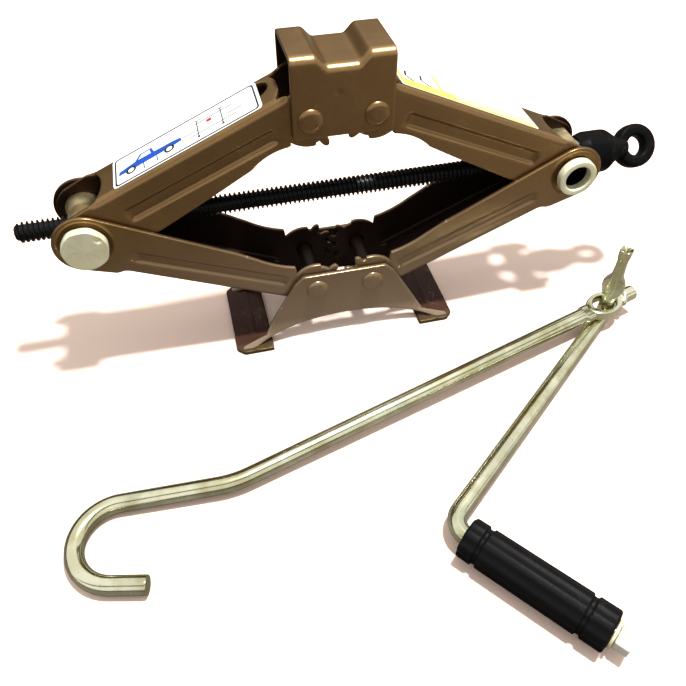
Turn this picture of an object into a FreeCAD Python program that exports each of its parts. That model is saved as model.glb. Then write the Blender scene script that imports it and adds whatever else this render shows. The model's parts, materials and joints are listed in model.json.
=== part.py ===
import FreeCAD, Part
import math
import os
from FreeCAD import Vector

os.makedirs("parts", exist_ok=True)

# Scissor jack with its folding crank handle. Units are millimetres.
# Origin: on the ground, under the middle of the base. +X runs along the screw towards its
# drive eye, -Y is the front, +Z is up. The jack stands part raised, as stored in the frame.

# Linkage
ARM_LENGTH = 152.0  # pin centre to pin centre, all four arms
REST_ANGLE = 24.0  # slope of every arm at rest, degrees
PIN_HALF_SPACING = 19.5  # half the distance between the two pins of the base or saddle
BASE_PIN_Z = 42.0
RIVET_R = 5.0
JOURNAL_R = 12.0  # trunnion journals
RUNNING_GAP = 0.05  # radial clearance of a journal or pin in its hole
LOOSE_GAP = 0.2  # radial clearance of the saddle rivets in the upper arms

# Sheet metal
SHEET = 3.0
NEST_GAP = 0.3  # sideways gap between two pressings
UPPER_HALF_WIDTH = 19.0
LOWER_HALF_WIDTH = UPPER_HALF_WIDTH + NEST_GAP + SHEET
BASE_HALF_WIDTH = LOWER_HALF_WIDTH + NEST_GAP + 3.5
BASE_SHEET = 3.5
BEND_R = 5.0
HUB_R = 18.0

# Gear ends of the arms: twelve teeth to a full circle, only five are cut
TOOTH_COUNT = 12
TOOTH_TIP_R = 21.6
TOOTH_ROOT_R = 16.2
TOOTH_SECTOR = (78.0, 216.0)  # degrees from the arm's own axis
TOOTH_HALF_WIDTHS = (3.0, 2.2, 0.9)  # at the root, pitch and tip circles

# Screw and its bearing
SCREW_R = 6.35
SCREW_ROOT_R = 4.75
SCREW_PITCH = 3.0
SCREW_LEFT_X = -199.5
SHANK_R = 6.3
SHANK_LENGTH = 14.0
THREAD_FLANK = 0.8  # length along the screw of one sloping side of a groove
NUT_BORE_R = 6.5
BLOCK_HALF = 8.0  # half thickness of a trunnion, across its flats
TUBE_BORE_R = 8.7  # bore in the front end of the right trunnion
HEAD_R = 13.6  # the nut's disc and the washers at the back
COLLAR_R = 12.9  # the ring on the tube's end
HEAD_THICKNESS = 6.0
EYE_X = 214.5
EYE_R = 15.0
EYE_HOLE_R = 6.5
EYE_THICKNESS = 11.0
EYE_TILT = 38.0  # degrees that the eye's hole points up from the front
SCREW_END_X = 190.0  # where the shank ends inside the barrel
BARREL_R = 11.4
CUP_R = 14.5
CUP_END_X = 188.0
RACE = 2.0
RACE_R = 11.0
BALL_R = 2.0
BALL_CIRCLE_R = 8.9
BALL_COUNT = 11
BALL_GAP = 0.1

# Saddle and base
SADDLE_HALF_LENGTH = 30.0
SADDLE_RISE = 36.4  # pin centre to the top of the pads
SADDLE_SKIRT = 11.0  # pin centre to the lower edge
CHANNEL_DEPTH = 6.0
CHANNEL_HALF = 10.0
CHANNEL_SLOPE = 5.0
BASE_ARCH_Z = 16.0  # top of the arch in the lower edge of a base flange
FOOT_OUTER_X = 80.0
FOOT_INNER_X = 54.0
FOOT_HALF_DEPTH = 36.0

# Crank handle
ROD_R = 5.5
HOOK_CENTRE = (-164.0, -165.0)
HOOK_R = 25.0
HOOK_TIP = (-150.0, -194.0)
HOOK_KINK = (-96.8, -143.5)
ROD_EYE = Vector(185.8, -63.8, 16.0)  # on the axis of the crank's pin
EYE_LONG_R = 15.0  # the eye is an oval whose long axis lies along the rod
EYE_SHORT_R = 10.5
EYE_BACK = 2.5  # its centre lies this far from the pin, towards the hook
HOLE_LONG_R = 9.0
HOLE_SHORT_R = 7.2
FLAT_HALF = 3.5  # half the thickness of the flattened part
FLAT_FROM = 21.0  # where the flattened part starts, before the pin
ROD_STUB = 25.0
CRANK_CORNER = (16.0, -202.0)
CRANK_END = (80.5, -284.5)
ELBOW_R = 9.0
GRIP_R = 12.0
GRIP_START = 11.0
GRIP_END = 96.0
HEAD_START = 2.5  # from the end of the grip to the retaining head
HEX_ACROSS_FLATS = 12.0
HEX_LENGTH = 8.0

COS = math.cos(math.radians(REST_ANGLE))
SIN = math.sin(math.radians(REST_ANGLE))
TRUNNION_X = PIN_HALF_SPACING + ARM_LENGTH * COS
TRUNNION_Z = BASE_PIN_Z + ARM_LENGTH * SIN
SADDLE_PIN_Z = BASE_PIN_Z + 2 * ARM_LENGTH * SIN
SADDLE_TOP_Z = SADDLE_PIN_Z + SADDLE_RISE

X_AXIS = Vector(1, 0, 0)
Y_AXIS = Vector(0, 1, 0)
Z_AXIS = Vector(0, 0, 1)


def save(name, shape):
    """Write one piece, or a group of like pieces, as a STEP file."""
    shape.exportStep("parts/" + name + ".step")


def cylinder_y(radius, y_low, y_high, x=0.0, z=0.0):
    """A cylinder whose axis is parallel to Y."""
    return Part.makeCylinder(radius, y_high - y_low, Vector(x, y_low, z), Y_AXIS)


def block(x_range, y_range, z_range):
    """A box from its low and high coordinate on each axis."""
    size = [high - low for low, high in (x_range, y_range, z_range)]
    return Part.makeBox(size[0], size[1], size[2], Vector(x_range[0], y_range[0], z_range[0]))


def plate(points, y_low, y_high):
    """A straight-sided outline in the XZ plane, given thickness along Y."""
    corners = [Vector(x, y_low, z) for x, z in points]
    face = Part.Face(Part.makePolygon(corners + corners[:1]))
    return face.extrude(Vector(0, y_high - y_low, 0))


def turned(points, centre, axis):
    """A solid of revolution about `axis` from (distance along the axis, radius) points."""
    side = Z_AXIS if abs(axis.z) < 0.5 else X_AXIS
    corners = [centre + axis * along + side * radius for along, radius in points]
    face = Part.Face(Part.makePolygon(corners + corners[:1]))
    return face.revolve(centre, axis, 360)


def placed(shape, origin, x_dir, z_dir):
    """Carry a shape from its own axes to an origin, with its x and z axes along two directions."""
    y_dir = z_dir.cross(x_dir)
    matrix = FreeCAD.Matrix(
        x_dir.x, y_dir.x, z_dir.x, origin.x,
        x_dir.y, y_dir.y, z_dir.y, origin.y,
        x_dir.z, y_dir.z, z_dir.z, origin.z,
        0, 0, 0, 1,
    )
    moved = shape.copy()
    moved.transformShape(matrix)
    return moved


def edges_where(shape, test):
    """The edges whose two ends both pass a test."""
    return [e for e in shape.Edges if len(e.Vertexes) == 2 and all(test(v.Point) for v in e.Vertexes)]


# ---------------------------------------------------------------- arms


def tooth(angle, y_low, y_high):
    """One gear tooth, a six-sided outline that narrows towards its tip."""
    pitch_r = PIN_HALF_SPACING
    radii = (TOOTH_ROOT_R - 1.5, pitch_r, TOOTH_TIP_R)
    left = list(zip(radii, TOOTH_HALF_WIDTHS))
    right = [(radius, -half) for radius, half in reversed(left)]
    solid = plate(left + right, y_low, y_high)
    solid.rotate(Vector(0, 0, 0), Y_AXIS, -angle)
    return solid


def gear_hub(first_tooth, y_low, y_high):
    """The round end of a flange with teeth cut in the sector that meets the other arm."""
    thickness = y_high - y_low
    start, end = TOOTH_SECTOR
    ring = Part.makeCylinder(30, thickness, Vector(0, 0, 0), Z_AXIS, end - start)
    ring = ring.cut(Part.makeCylinder(TOOTH_ROOT_R, thickness))
    # the ring is turned so that its axis is Y and its sector starts at TOOTH_SECTOR[0]
    ring.rotate(Vector(0, 0, 0), X_AXIS, 90)
    ring.translate(Vector(0, y_high, 0))
    ring.rotate(Vector(0, 0, 0), Y_AXIS, -start)
    hub = cylinder_y(HUB_R, y_low, y_high).cut(ring)
    step = 360.0 / TOOTH_COUNT
    angle = first_tooth
    while angle < end - step / 3:
        hub = hub.fuse(tooth(angle, y_low, y_high))
        angle += step
    return hub


def arm_body(outline, neck, y_low, y_high):
    """A flange's long part: straight edges, and one arc through three points at its neck."""
    points = [Vector(x, y_low, z) for x, z in outline]
    arc_points = [Vector(x, y_low, z) for x, z in neck]
    edges = [Part.makeLine(a, b) for a, b in zip(points[:-1], points[1:])]
    edges.append(Part.makeLine(points[-1], arc_points[0]))
    edges.append(Part.Arc(*arc_points).toShape())
    edges.append(Part.makeLine(arc_points[2], points[0]))
    face = Part.Face(Part.Wire(edges))
    return face.extrude(Vector(0, y_high - y_low, 0))


def arm(half_width, web_z, eye_r, outline, neck, web_span, hub_hole_r, window):
    """A U-shaped arm. x runs from the gear hub to the eye, and z towards the open side."""
    inner = half_width - SHEET
    rest_tooth = 180.0 - REST_ANGLE
    step = 360.0 / TOOTH_COUNT
    # the two flanges are half a tooth out of step, so that one pressing serves both sides
    first_teeth = (rest_tooth - 2 * step, rest_tooth - 1.5 * step)
    solid = block(web_span, (-half_width, half_width), (web_z, web_z + SHEET))
    sides = (-half_width, inner)
    for y_low in sides:
        solid = solid.fuse(arm_body(outline, neck, y_low, y_low + SHEET))
    # rounding the envelope's lower edges gives the web its bends
    envelope = block((0, ARM_LENGTH), (-half_width, half_width), (web_z, 60))
    folds = edges_where(envelope, lambda p: abs(p.z - web_z) < 0.01)
    long_folds = [e for e in folds if e.Length > ARM_LENGTH - 1]
    solid = solid.common(envelope.makeFillet(BEND_R, long_folds))
    for y_low, first in zip(sides, first_teeth):
        solid = solid.fuse(gear_hub(first, y_low, y_low + SHEET))
        solid = solid.fuse(cylinder_y(eye_r, y_low, y_low + SHEET, ARM_LENGTH))
    end_cut = Part.makeCylinder(26.0, 12, Vector(web_span[1] + 21.0, 0, web_z - 4), Z_AXIS)
    end_cut = end_cut.common(block((0, 400), (-inner, inner), (-60, 60)))
    solid = solid.cut(end_cut)
    solid = solid.cut(cylinder_y(hub_hole_r, -60, 60))
    solid = solid.cut(cylinder_y(JOURNAL_R + RUNNING_GAP, -60, 60, ARM_LENGTH))
    if window:
        x, y, radius = window
        solid = solid.cut(Part.makeCylinder(radius, 12, Vector(x, y, web_z - 4), Z_AXIS))
    return solid


def lower_arm():
    """The wider arm: its web is underneath and its flanges lie outside the upper arm's."""
    outline = [(4, -16), (118, -16), (ARM_LENGTH, -19), (ARM_LENGTH, 19), (62, 13.8)]
    neck = [(47, 11.8), (33, 10.4), (20, 11.6)]
    web_span = (16.0, ARM_LENGTH - 28.0)
    return arm(LOWER_HALF_WIDTH, -16.0, 19.0, outline, neck, web_span, RIVET_R + RUNNING_GAP, None)


def upper_arm():
    """The narrower arm: its web is on top, with a round window near the saddle."""
    outline = [(4, -18), (132, -18), (ARM_LENGTH, -17), (ARM_LENGTH, 17), (111, 18), (71, 14.6)]
    neck = [(44, 11.8), (30, 8.6), (17, 10.5)]
    web_span = (8.0, ARM_LENGTH - 20.0)
    window = (ARM_LENGTH - 131.0, 5.0, 7.5)
    return arm(UPPER_HALF_WIDTH, -18.0, 17.0, outline, neck, web_span, RIVET_R + LOOSE_GAP, window)


def label(start, end):
    """A printed label on the web of an upper arm, from the trunnion's side to the saddle's."""
    return block((ARM_LENGTH - end, ARM_LENGTH - start), (-15.5, 15.5), (-18.25, -18.0))


def add_arms():
    """Place the four arms and the two labels."""
    lower = lower_arm()
    upper = upper_arm()
    for side, word in ((-1, "left"), (1, "right")):
        along = Vector(side * COS, 0, SIN)
        open_side = Vector(-side * SIN, 0, COS)
        base_pin = Vector(side * PIN_HALF_SPACING, 0, BASE_PIN_Z)
        save("lower_arm_" + word, placed(lower, base_pin, along, open_side))
        along = Vector(side * COS, 0, -SIN)
        open_side = Vector(-side * SIN, 0, -COS)
        saddle_pin = Vector(side * PIN_HALF_SPACING, 0, SADDLE_PIN_Z)
        save("upper_arm_" + word, placed(upper, saddle_pin, along, open_side))
        span = (34.0, 129.5) if side < 0 else (32.0, 140.0)
        save("label_" + word, placed(label(*span), saddle_pin, along, open_side))


# ---------------------------------------------------------------- saddle, base and rivets


def saddle():
    """A folded cap with a channel pressed across the middle of its top."""
    top = SADDLE_TOP_Z
    floor = top - CHANNEL_DEPTH
    shoulder = CHANNEL_HALF + CHANNEL_SLOPE
    end = SADDLE_HALF_LENGTH
    upper_line = [(-end, top), (-shoulder, top), (-CHANNEL_HALF, floor)]
    upper_line += [(CHANNEL_HALF, floor), (shoulder, top), (end, top)]
    lower_line = [(x, z - SHEET) for x, z in reversed(upper_line)]
    half = LOWER_HALF_WIDTH
    solid = plate(upper_line + lower_line, -half, half)
    skirt = SADDLE_PIN_Z - SADDLE_SKIRT
    side_outline = upper_line + [(end, skirt), (-end, skirt)]
    for y_low in (-half, half - SHEET):
        solid = solid.fuse(plate(side_outline, y_low, y_low + SHEET))
    envelope = block((-end, end), (-half, half), (skirt, top))
    folds = edges_where(envelope, lambda p: abs(p.z - top) < 0.01)
    long_folds = [e for e in folds if e.Length > 2 * end - 1]
    solid = solid.common(envelope.makeFillet(BEND_R, long_folds))
    for x in (-PIN_HALF_SPACING, PIN_HALF_SPACING):
        solid = solid.cut(cylinder_y(RIVET_R, -60, 60, x, SADDLE_PIN_Z))
    return solid


def base_flange(y_low, y_high):
    """One side of the base: a trapezium with an arched lower edge."""
    outline = [(-70, 0), (-76, 0), (-76, 3), (-58, 8), (-35, 48), (-29, 54)]
    outline += [(29, 54), (35, 48), (58, 8), (76, 3), (76, 0), (70, 0)]
    points = [Vector(x, y_low, z) for x, z in outline]
    edges = [Part.makeLine(a, b) for a, b in zip(points[:-1], points[1:])]
    edges.append(Part.Arc(points[-1], Vector(0, y_low, BASE_ARCH_Z), points[0]).toShape())
    face = Part.Face(Part.Wire(edges))
    return face.extrude(Vector(0, y_high - y_low, 0))


def base():
    """The stool-shaped base: two flanges joined by a foot strip at each end."""
    half = BASE_HALF_WIDTH
    solid = base_flange(-half, -half + BASE_SHEET)
    solid = solid.fuse(base_flange(half - BASE_SHEET, half))
    for side in (-1, 1):
        x_range = sorted((side * FOOT_INNER_X, side * FOOT_OUTER_X))
        strip = block(x_range, (-FOOT_HALF_DEPTH, FOOT_HALF_DEPTH), (0, SHEET))
        corners = edges_where(strip, lambda p: abs(abs(p.x) - FOOT_OUTER_X) < 0.01)
        upright = [e for e in corners if abs(e.Vertexes[0].Z - e.Vertexes[1].Z) > 1]
        solid = solid.fuse(strip.makeChamfer(5.0, upright))
    for x in (-PIN_HALF_SPACING, PIN_HALF_SPACING):
        solid = solid.cut(cylinder_y(RIVET_R, -60, 60, x, BASE_PIN_Z))
    return solid.removeSplitter()


def rivet(x, z, half_grip):
    """A rivet through both flanges with a low domed head at each end."""
    profile = [(-half_grip - 2.6, 0), (-half_grip - 2.6, 3.5), (-half_grip - 1.9, 6.4)]
    profile += [(-half_grip - 0.7, 7.5), (-half_grip, 7.5), (-half_grip, RIVET_R)]
    other_end = [(-along, radius) for along, radius in reversed(profile)]
    return turned(profile + other_end, Vector(x, 0, z), Y_AXIS)


def rivet_pair(z, half_grip):
    """The two rivets of the base or of the saddle."""
    pair = [rivet(x, z, half_grip) for x in (-PIN_HALF_SPACING, PIN_HALF_SPACING)]
    return Part.makeCompound(pair)


# ---------------------------------------------------------------- trunnions, screw, bearing


def trunnion(x, round_top):
    """A cross bar between the arms, narrowed across two flats where the screw goes through."""
    journal = cylinder_y(JOURNAL_R, -LOWER_HALF_WIDTH - NEST_GAP, LOWER_HALF_WIDTH + 4.0)
    inner = UPPER_HALF_WIDTH - SHEET
    waist = block((-30, 30), (-inner, inner), (-30, 30))
    core = block((-BLOCK_HALF, BLOCK_HALF), (-inner, inner), (-JOURNAL_R, JOURNAL_R))
    if round_top:
        core = core.common(cylinder_y(JOURNAL_R, -inner, inner))
    solid = journal.cut(waist).fuse(core)
    solid.translate(Vector(x, 0, TRUNNION_Z))
    return solid


def nut_trunnion():
    """The left trunnion, which is the nut of the screw."""
    solid = trunnion(-TRUNNION_X, True)
    bore = Part.makeCylinder(NUT_BORE_R, 40, Vector(-TRUNNION_X - 20, 0, TRUNNION_Z), X_AXIS)
    return solid.cut(bore)


def bearing_trunnion():
    """The right trunnion, whose front end is a tube and which carries the screw's shank."""
    solid = trunnion(TRUNNION_X, False)
    bore_r = SHANK_R + 0.1
    bore = Part.makeCylinder(bore_r, 40, Vector(TRUNNION_X - 20, 0, TRUNNION_Z), X_AXIS)
    tube = cylinder_y(TUBE_BORE_R, -40, -11, TRUNNION_X, TRUNNION_Z)
    return solid.cut(bore).cut(tube)


def end_disc(x, outer_r, hole_r):
    """The disc staked on the front end of a trunnion, solid or with the tube's hole."""
    face_y = -LOWER_HALF_WIDTH - NEST_GAP
    rim = 0.8
    profile = [(0, hole_r), (0, outer_r), (-HEAD_THICKNESS + rim, outer_r)]
    profile += [(-HEAD_THICKNESS, outer_r - rim), (-HEAD_THICKNESS, hole_r)]
    return turned(profile, Vector(x, face_y, TRUNNION_Z), Y_AXIS)


def retainer(x):
    """The washer that closes a trunnion at the back."""
    y_low = LOWER_HALF_WIDTH + NEST_GAP
    ring = cylinder_y(HEAD_R, y_low, y_low + 2.5, x, TRUNNION_Z)
    return ring.cut(cylinder_y(JOURNAL_R, y_low - 1, y_low + 5, x, TRUNNION_Z))


def screw():
    """The lead screw: ring grooves stand for the thread, then a plain shank."""
    profile = [(SCREW_LEFT_X, 0), (SCREW_LEFT_X, SCREW_ROOT_R)]
    thread_end = TRUNNION_X - SHANK_LENGTH
    flank = THREAD_FLANK
    flat = SCREW_PITCH / 2 - flank
    x = SCREW_LEFT_X + 0.4
    while x < thread_end - SCREW_PITCH:
        profile += [(x, SCREW_ROOT_R), (x + flank, SCREW_R)]
        profile += [(x + flank + flat, SCREW_R), (x + 2 * flank + flat, SCREW_ROOT_R)]
        x += SCREW_PITCH
    shank_end = TRUNNION_X + BLOCK_HALF
    profile += [(thread_end, SCREW_ROOT_R), (thread_end, SHANK_R), (shank_end, SHANK_R)]
    profile += [(shank_end, 6.2), (SCREW_END_X, 6.2), (SCREW_END_X, 0)]
    return turned(profile, Vector(0, 0, TRUNNION_Z), X_AXIS)


def ring_x(inner_r, outer_r, x_low, x_high):
    """A flat ring around the screw."""
    centre = Vector(x_low, 0, TRUNNION_Z)
    outer = Part.makeCylinder(outer_r, x_high - x_low, centre, X_AXIS)
    return outer.cut(Part.makeCylinder(inner_r, x_high - x_low, centre, X_AXIS))


def add_thrust_bearing():
    """Two races with a ring of balls between them, and the cup around them."""
    x = TRUNNION_X + BLOCK_HALF + 0.02
    save("thrust_race_fixed", ring_x(SHANK_R + 0.2, RACE_R, x, x + RACE))
    ball_x = x + RACE + BALL_GAP + BALL_R
    balls = []
    for index in range(BALL_COUNT):
        angle = 2 * math.pi * index / BALL_COUNT
        y = BALL_CIRCLE_R * math.cos(angle)
        z = BALL_CIRCLE_R * math.sin(angle)
        balls.append(Part.makeSphere(BALL_R, Vector(ball_x, y, TRUNNION_Z + z)))
    save("thrust_balls", Part.makeCompound(balls))
    far = ball_x + BALL_R + BALL_GAP
    save("thrust_race_turning", ring_x(6.2, RACE_R, far, far + RACE))
    cup_start = x + RACE + 0.3
    cup = [(cup_start, BARREL_R), (cup_start, 12.4), (173.0, 14.0), (174.5, CUP_R)]
    cup += [(CUP_END_X, CUP_R), (CUP_END_X, BARREL_R)]
    save("bearing_cup", turned(cup, Vector(0, 0, TRUNNION_Z), X_AXIS))
    return far + RACE


def drive_eye(shoulder):
    """The forged head on the screw's right end: a barrel, a neck and an eye for the hook."""
    profile = [(shoulder, 6.2), (shoulder, BARREL_R), (CUP_END_X, BARREL_R), (CUP_END_X, CUP_R)]
    profile += [(190.5, 14.0), (193.5, 13.0), (197.0, 12.0), (200.5, 10.8), (203.5, 8.8)]
    profile += [(206.5, 6.0), (206.5, 0), (SCREW_END_X, 0), (SCREW_END_X, 6.2)]
    solid = turned(profile, Vector(0, 0, TRUNNION_Z), X_AXIS)
    tilt = math.radians(EYE_TILT)
    axis = Vector(0, -math.cos(tilt), math.sin(tilt))
    centre = Vector(EYE_X, 0, TRUNNION_Z)
    half = EYE_THICKNESS / 2
    ring = [(-half, 0), (-half, EYE_R - 3), (-half + 1.6, EYE_R - 0.8), (-1.5, EYE_R), (1.5, EYE_R)]
    ring += [(half - 1.6, EYE_R - 0.8), (half, EYE_R - 3), (half, 0)]
    solid = solid.fuse(turned(ring, centre, axis))
    hole = Part.makeCylinder(EYE_HOLE_R, 60, centre - axis * 30, axis)
    return solid.cut(hole)


# ---------------------------------------------------------------- crank handle


def rod(points, radii, radius):
    """A round rod along straight runs that are joined by arcs of the given radii."""
    edges = []
    start = points[0]
    for index, bend in enumerate(radii):
        corner = points[index + 1]
        before = (corner - points[index]).normalize()
        after = (points[index + 2] - corner).normalize()
        half_turn = before.getAngle(after) / 2
        cut = bend * math.tan(half_turn)
        arc_start = corner - before * cut
        arc_end = corner + after * cut
        inward = (after - before).normalize()
        middle = corner + inward * (bend / math.cos(half_turn) - bend)
        if start.distanceToPoint(arc_start) > 0.001:
            edges.append(Part.makeLine(start, arc_start))
        edges.append(Part.Arc(arc_start, middle, arc_end).toShape())
        start = arc_end
    edges.append(Part.makeLine(start, points[-1]))
    first = (points[1] - points[0]).normalize()
    circle = Part.Wire([Part.makeCircle(radius, points[0], first)])
    return Part.Wire(edges).makePipeShell([circle], True, False)


def hook_line():
    """The hook rod's centre line in its own plane, as corner points and bend radii."""
    centre = Vector(HOOK_CENTRE[0], HOOK_CENTRE[1], 0)
    tip = Vector(HOOK_TIP[0], HOOK_TIP[1], 0)
    kink = Vector(HOOK_KINK[0], HOOK_KINK[1], 0)
    # tangent points of the two straight runs on the hook's circle
    to_tip = tip - centre
    spread = math.acos(HOOK_R / to_tip.Length)
    low_angle = math.atan2(to_tip.y, to_tip.x) - spread
    to_kink = kink - centre
    spread = math.acos(HOOK_R / to_kink.Length)
    high_angle = math.atan2(to_kink.y, to_kink.x) + spread
    sweep = (low_angle + 2 * math.pi) - high_angle
    # three equal corners stand for the half circle, each with the circle's own radius
    corners = []
    turn = sweep / 3
    for index in range(3):
        angle = low_angle + 2 * math.pi - turn * (index + 0.5)
        reach = HOOK_R / math.cos(turn / 2)
        corners.append(centre + Vector(math.cos(angle), math.sin(angle), 0) * reach)
    return [tip] + corners + [kink], [HOOK_R] * 3


def tilt_onto_floor(shape, along):
    """Lift the eye end of the flat hook rod while its hook stays on the floor."""
    eye = Vector(ROD_EYE.x, ROD_EYE.y, 0)
    hook = Vector(HOOK_CENTRE[0], HOOK_CENTRE[1], 0) - along * HOOK_R
    run = (eye - hook).dot(along)
    slope = math.degrees(math.atan((ROD_EYE.z - ROD_R) / run))
    across = Z_AXIS.cross(along)
    shape.translate(Vector(0, 0, ROD_R))
    shape.rotate(hook + Vector(0, 0, ROD_R), across, -slope)
    return shape


def crank_axes():
    """The crank's corner points, and the directions of its leg, grip and pin."""
    elbow = Vector(ROD_EYE.x, ROD_EYE.y, ROD_R)
    corner = Vector(CRANK_CORNER[0], CRANK_CORNER[1], GRIP_R)
    end = Vector(CRANK_END[0], CRANK_END[1], GRIP_R)
    leg = (corner - elbow).normalize()
    grip = (end - corner).normalize()
    pin = leg.cross(grip).normalize()
    if pin.z < 0:
        pin = pin * -1
    return elbow, corner, end, leg, grip, pin


def oval(long_r, short_r, along):
    """An upright oval bar through the eye, standing across the flat rod."""
    centre = Vector(ROD_EYE.x, ROD_EYE.y, -FLAT_HALF) - along * EYE_BACK
    ellipse = Part.Ellipse(centre + along * long_r, centre + Z_AXIS.cross(along) * short_r, centre)
    return Part.Face(Part.Wire([ellipse.toShape()])).extrude(Z_AXIS * (2 * FLAT_HALF))


def hook_rod():
    """The long rod: a hook at one end, and a flattened eye with a stub at the other."""
    points, radii = hook_line()
    eye = Vector(ROD_EYE.x, ROD_EYE.y, 0)
    along = (eye - points[-1]).normalize()
    across = Z_AXIS.cross(along)
    points.append(eye - along * FLAT_FROM)
    solid = rod(points, radii + [60.0], ROD_R)
    solid = solid.fuse(Part.makeCylinder(ROD_R, ROD_STUB - 13, eye + along * 13, along))
    low = Vector(0, 0, -FLAT_HALF)
    corners = [eye - along * (FLAT_FROM + 0.5) + across * 4.2, eye + along * 13.5 + across * 4.2]
    corners += [eye + along * 13.5 - across * 4.2, eye - along * (FLAT_FROM + 0.5) - across * 4.2]
    corners = [corner + low for corner in corners]
    bar = Part.Face(Part.makePolygon(corners + corners[:1])).extrude(Z_AXIS * (2 * FLAT_HALF))
    solid = solid.fuse(bar).fuse(oval(EYE_LONG_R, EYE_SHORT_R, along))
    solid = solid.cut(oval(HOLE_LONG_R, HOLE_SHORT_R, along))
    return tilt_onto_floor(solid, along)


def crank_rod():
    """The crank: an upright winged pin, a leg and the spindle that the grip turns on."""
    elbow, corner, end, leg, grip, pin = crank_axes()
    spindle_end = corner + grip * (GRIP_END + HEAD_START)
    solid = rod([elbow + pin * 21.5, elbow, corner, spindle_end], [ELBOW_R, 12.0], ROD_R)
    core = Part.makeCylinder(4.6, 24, elbow + pin * 21, pin)
    side = pin.cross(leg).normalize()
    outline = [(17, -4.0), (23, -6.6), (28, -7.7), (33, -6.8), (38, -4.0), (38, 4.0)]
    outline += [(33, 6.8), (28, 7.7), (23, 6.6), (17, 4.0)]
    wing_points = [elbow + pin * h + side * w - leg * 3.4 for h, w in outline]
    wings = Part.Face(Part.makePolygon(wing_points + wing_points[:1])).extrude(leg * 6.8)
    half = 3.4
    corners = [side * half + leg * half, side * half - leg * half]
    corners += [side * -half - leg * half, side * -half + leg * half]
    corners = [elbow + pin * 36 + corner for corner in corners]
    top = Part.Face(Part.makePolygon(corners + corners[:1])).extrude(pin * 23)
    return solid.fuse(core).fuse(wings).fuse(top)


def hex_head(start, along, up):
    """A six-sided head with its flats parallel to `up`."""
    side = along.cross(up).normalize()
    corner_r = HEX_ACROSS_FLATS / math.sqrt(3)
    corners = []
    for index in range(6):
        angle = math.radians(60 * index)
        corners.append(start + up * (corner_r * math.cos(angle)) + side * (corner_r * math.sin(angle)))
    face = Part.Face(Part.makePolygon(corners + corners[:1]))
    return face.extrude(along * HEX_LENGTH)


def add_handle():
    """Hook rod, crank, grip and the head that keeps the grip on."""
    save("hook_rod", hook_rod())
    save("crank_rod", crank_rod())
    elbow, corner, end, leg, grip, pin = crank_axes()
    profile = [(GRIP_START, ROD_R + 0.15), (GRIP_START, 9.5), (GRIP_START + 2, 11.0)]
    profile += [(GRIP_START + 8, GRIP_R), (GRIP_END - 8, GRIP_R), (GRIP_END - 2, 11.0)]
    profile += [(GRIP_END, 9.5), (GRIP_END, ROD_R + 0.15)]
    save("grip", turned(profile, corner, grip))
    washer = Part.makeCylinder(8.0, 1.5, corner + grip * (GRIP_END + 0.4), grip)
    washer = washer.cut(Part.makeCylinder(ROD_R, 10, corner + grip * GRIP_END, grip))
    save("grip_washer", washer)
    save("grip_retaining_head", hex_head(corner + grip * (GRIP_END + HEAD_START), grip, pin))


add_arms()
save("saddle", saddle())
save("base", base())
save("base_rivets", rivet_pair(BASE_PIN_Z, BASE_HALF_WIDTH))
save("saddle_rivets", rivet_pair(SADDLE_PIN_Z, LOWER_HALF_WIDTH))
save("nut_trunnion", nut_trunnion())
save("bearing_trunnion", bearing_trunnion())
save("nut_head", end_disc(-TRUNNION_X, HEAD_R, 0.0))
save("bearing_collar", end_disc(TRUNNION_X, COLLAR_R, TUBE_BORE_R))
save("nut_retainer", retainer(-TRUNNION_X))
save("bearing_retainer", retainer(TRUNNION_X))
save("lead_screw", screw())
save("drive_eye", drive_eye(add_thrust_bearing()))
add_handle()
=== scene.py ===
import json

import bmesh
import bpy
import numpy as np
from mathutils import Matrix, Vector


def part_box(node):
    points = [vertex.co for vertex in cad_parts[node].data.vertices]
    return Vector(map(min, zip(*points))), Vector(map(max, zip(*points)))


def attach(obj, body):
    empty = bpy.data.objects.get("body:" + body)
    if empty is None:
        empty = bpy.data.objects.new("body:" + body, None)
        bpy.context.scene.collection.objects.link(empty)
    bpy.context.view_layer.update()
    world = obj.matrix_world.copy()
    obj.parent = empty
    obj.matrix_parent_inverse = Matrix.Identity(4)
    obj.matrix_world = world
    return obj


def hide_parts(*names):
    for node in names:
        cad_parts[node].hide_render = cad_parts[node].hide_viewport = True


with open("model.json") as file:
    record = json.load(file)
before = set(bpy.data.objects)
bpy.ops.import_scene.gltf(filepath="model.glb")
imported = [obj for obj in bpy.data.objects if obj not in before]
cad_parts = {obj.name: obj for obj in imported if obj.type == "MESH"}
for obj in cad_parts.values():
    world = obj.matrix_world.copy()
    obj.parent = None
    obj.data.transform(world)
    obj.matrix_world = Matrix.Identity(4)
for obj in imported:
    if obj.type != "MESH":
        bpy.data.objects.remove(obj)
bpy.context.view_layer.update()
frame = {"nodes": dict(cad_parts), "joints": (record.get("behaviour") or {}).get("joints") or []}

mm = 0.001


# ------------------------------------------------------------------ camera
# The jack and its handle are looked down on from the front left, with a slightly long lens.

eye_point = (-88.2 * mm, -376.3 * mm, 365.9 * mm)
look_down = np.radians(46.64)
look_right = np.radians(13.87)


def placed(name, data):
    """A new object in the scene."""
    made = bpy.data.objects.new(name, data)
    bpy.context.scene.collection.objects.link(made)
    return made


lens = bpy.data.cameras.new("view")
lens.lens = 36.7
lens.clip_start = 0.01
camera = placed("view", lens)
camera.location = eye_point
camera.rotation_euler = (np.pi / 2 - look_down, 0, -look_right)
bpy.context.scene.camera = camera


# ------------------------------------------------------------------ base
# A stool-shaped pressing of 3.5 mm steel: two arched sides whose skirts flare out onto a foot
# strip at each end. It is painted in a glossy bronze brown, like the arms and the saddle.

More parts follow.
